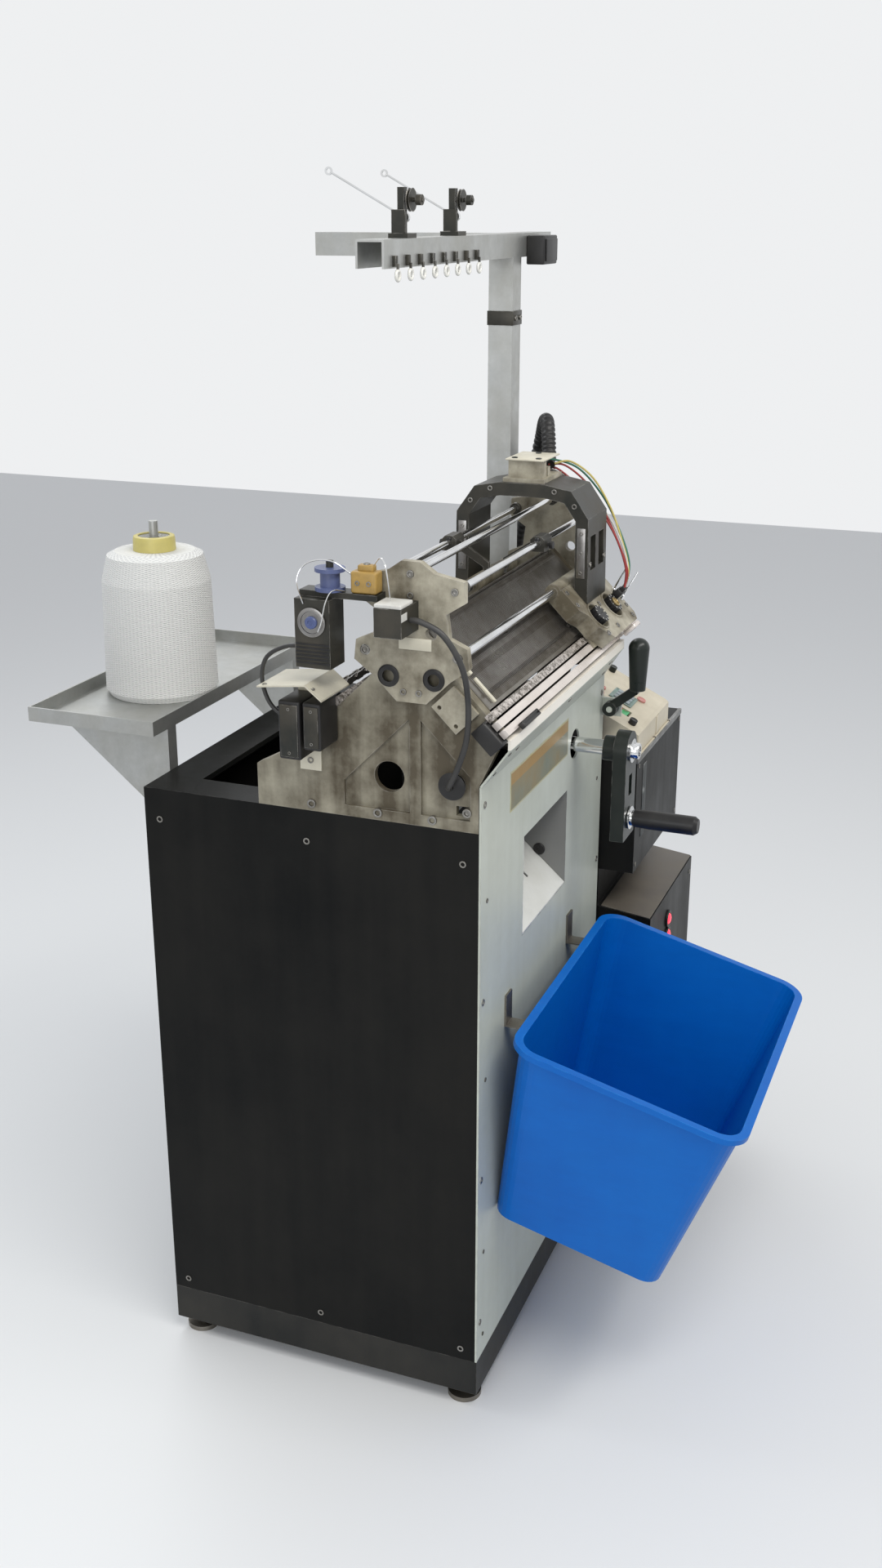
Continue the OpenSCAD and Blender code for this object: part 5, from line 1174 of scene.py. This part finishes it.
# %% Bare yellow label
BAND_BOTTOM = 0.976
overpaint("label_green", (0.36, 0.21, 0.06), most_beyond("Z", BAND_BOTTOM, 0.75))
dress(block((118, -0.5, 936), (392, 0, 996), 0.2, 1), "cover_label", "beige_plastic", finish="label_yellow")
dress(block((121, -0.8, 939), (389, -0.4, 993), 0.15, 1), "label_field", "beige_plastic", finish="label_green")
stop = turned([(0, 0), (9.6, 0), (9.6, 1.8), (8.6, 2.8), (4, 2.8), (3.4, 1.6), (0, 1.6)], (393.5, 43, 772), LEFT)
dress(stop, "chute_stop", "black_plastic")
places = [(x, y, z, (0, -57, -40), 3.4, 2) for x, y, z in ((22, -10, 1027.3), (22, -31, 1057.2), (548, -10, 1027.3))]
places += [(x, 0, z, FRONT, 3.4, 2) for x in (26, 566) for z in (120, 268, 560, 840)]
screws("cover_border_screws", places, "dark_metal")

# %% [markdown]
# The beige housing stands on a thin foot flange, which is screwed to the box, and a raised band runs down its front.

# %% Housing flange and band
flange = [block((608, -60, 870), (830, -56.2, 872.4), 0.6, 2), block((608, -56, 870), (613.8, 94, 872.4), 0.6, 2),
          block((824.2, -56, 870), (830, 94, 872.4), 0.6, 2), block((736, -57.6, 873), (752, -56, 904), 0.5, 2)]
dress(flange, "housing_flange", "beige_plastic")
places = [(x, -58.2, 872.4, UP, 2.6, 1.6) for x in (616, 719, 822)]
places += [(x, y, 872.4, UP, 2.2, 1.6) for x in (611, 827) for y in (-20, 70)]
places += [(x, y, z, way, 3, 2) for x, way in ((614, LEFT), (824, RIGHT)) for y, z in ((-36, 886), (74, 930))]
screws("housing_screws", places, "dark_metal")
dress(onto_panel(push_button(192, 106, 6.5, 10)), "panel_small_bolt", "black_enamel")

# %% [markdown]
# The rear cover, the cabinets and the tray brackets are screwed on. Sheet-metal screws have flat, wide heads.

# %% Screws of the rear and the lower cabinet
places = [(x, 523, z, REAR, 6, 2.4) for x in (27, 573) for z in (129, 511, 893)]
places += [(x, 526.9, z, REAR, 5, 2.4) for x in (92, 508) for z in (875, 905, 960)]
places += [(x, -95, z, FRONT, 4.5, 2.4) for x in (614, 896) for z in (104, 330, 556)]
places += [(910, y, z, RIGHT, 4.5, 2.4) for y in (-76, 342) for z in (104, 330, 556)]
places += [(0, y, z, LEFT, 5, 2.4) for y in (26, 260, 496) for z in (104, 900)]
screws("sheet_screws", places)

# %% [markdown]
# The stand holds small fittings: two clamps round the square pole, a junction box on the beam, white porcelain
# eyelets under it that guide the yarn, and a yellow tube over the peg in the middle of the yarn cone.

# %% Stand fittings
EYELETS, EYELET_PITCH = 8, 44


def square_ring(low, high, wall):
    """A band round a square tube, made from a block without its ends, thickened outwards."""
    made = block(low, high, 0)
    edit_faces(made, lambda centre, normal: abs(normal.z) > 0.9)
    bpy.ops.mesh.delete(type="FACE")
    leave_edit()
    apply_modifier(made, "SOLIDIFY", thickness=wall / 1000, offset=1)
    bevel(made, 0.0004)
    return made


bands = [square_ring((612.2, 175.9, z), (652.4, 216.1, z + 22), 2.4) for z in (1010, 1560)]
dress(bands, "pole_clamps", "dark_metal")
screws("pole_clamp_screws", [(x, 173.5, z, FRONT, 4, 4) for x in (621, 643) for z in (1021, 1571)])
box_parts = [block((676, 146, 1650), (744, 176, 1694), 2.4), block((682, 143.4, 1655), (738, 146, 1689), 1)]
dress(box_parts, "junction_box", "black_plastic")
eyes, stems = [], []
for i in range(EYELETS):
    x = 134 + EYELET_PITCH * i
    bpy.ops.mesh.primitive_torus_add(major_segments=28, minor_segments=12, major_radius=0.0062, minor_radius=0.0022,
                                     location=at(x, 170, 1653), rotation=(UPRIGHT, 0, 0))
    eyes.append(settle(bpy.context.object))
    stems += [block((x - 2, 168.6, 1660.6), (x + 2, 171.4, 1668), 0.4, 1),
              block((x - 4, 171, 1664), (x + 4, 176, 1678), 0.8, 2)]
dress(eyes, "yarn_eyelets", "breaker_plastic", finish="porcelain")
dress(stems, "eyelet_holders", "dark_metal")
sleeve = turned([(31.2, 0), (33, 0), (32.4, 17), (31.4, 21.6), (29, 22.6), (25, 22.6), (24.4, 21.6), (25, 20.2),
                 (30.2, 20.2), (31.2, 0)], (250, 630.5, 1238.6), UP, 56)
dress(sleeve, "cone_tube", "breaker_plastic", finish="tube_yellow")
print("stand fittings done")

# %% [markdown]
# Two short light bars lie on the front bed near the left ear, and a row of screws closes the drive plate. A dark
# motor of two blocks, each with a lid, hides under the cream roof at the left rear.

# %% Bars on the bed and the block under the roof
bars = [slope_block((24, 96, 6.4), (30, 138, 10.4), 1), slope_block((19, 60, 6.4), (27, 90, 12.4), 1.4)]
dress(onto_slope(join(bars)), "bed_bars", "cream_sheet")
under_roof = [block((-58, 206, 1056), (-2.4, 232.4, 1122), 3), block((-58, 236, 1040), (-2.4, 268, 1122), 3)]
dress(under_roof, "roof_motor", "black_plastic")
lids = [block((-59.6, 209, 1060), (-57.6, 229.4, 1117), 0.7, 2), block((-59.6, 239, 1044), (-57.6, 265, 1117), 0.7, 2)]
dress(lids, "roof_motor_lids", "dark_metal")
screws("roof_lid_screws", [(-59.6, y, z, LEFT, 2.2, 1.6) for y, low in ((219, 1066), (252, 1050)) for z in (low, 1111)])
screws("roof_screws", [(-2, 249, 1022, LEFT, 4.5, 3), (-62, 214, 1143.6, UP, 3.4, 2), (-62, 284, 1142.9, UP, 3.4, 2)])
screws("drive_plate_screws", [(x, 235, 1030, FRONT, 4, 3) for x in (60, 180, 320, 400, 560)])

# %% Clear the bench and finish
bpy.data.objects.remove(screw_master, do_unlink=True)
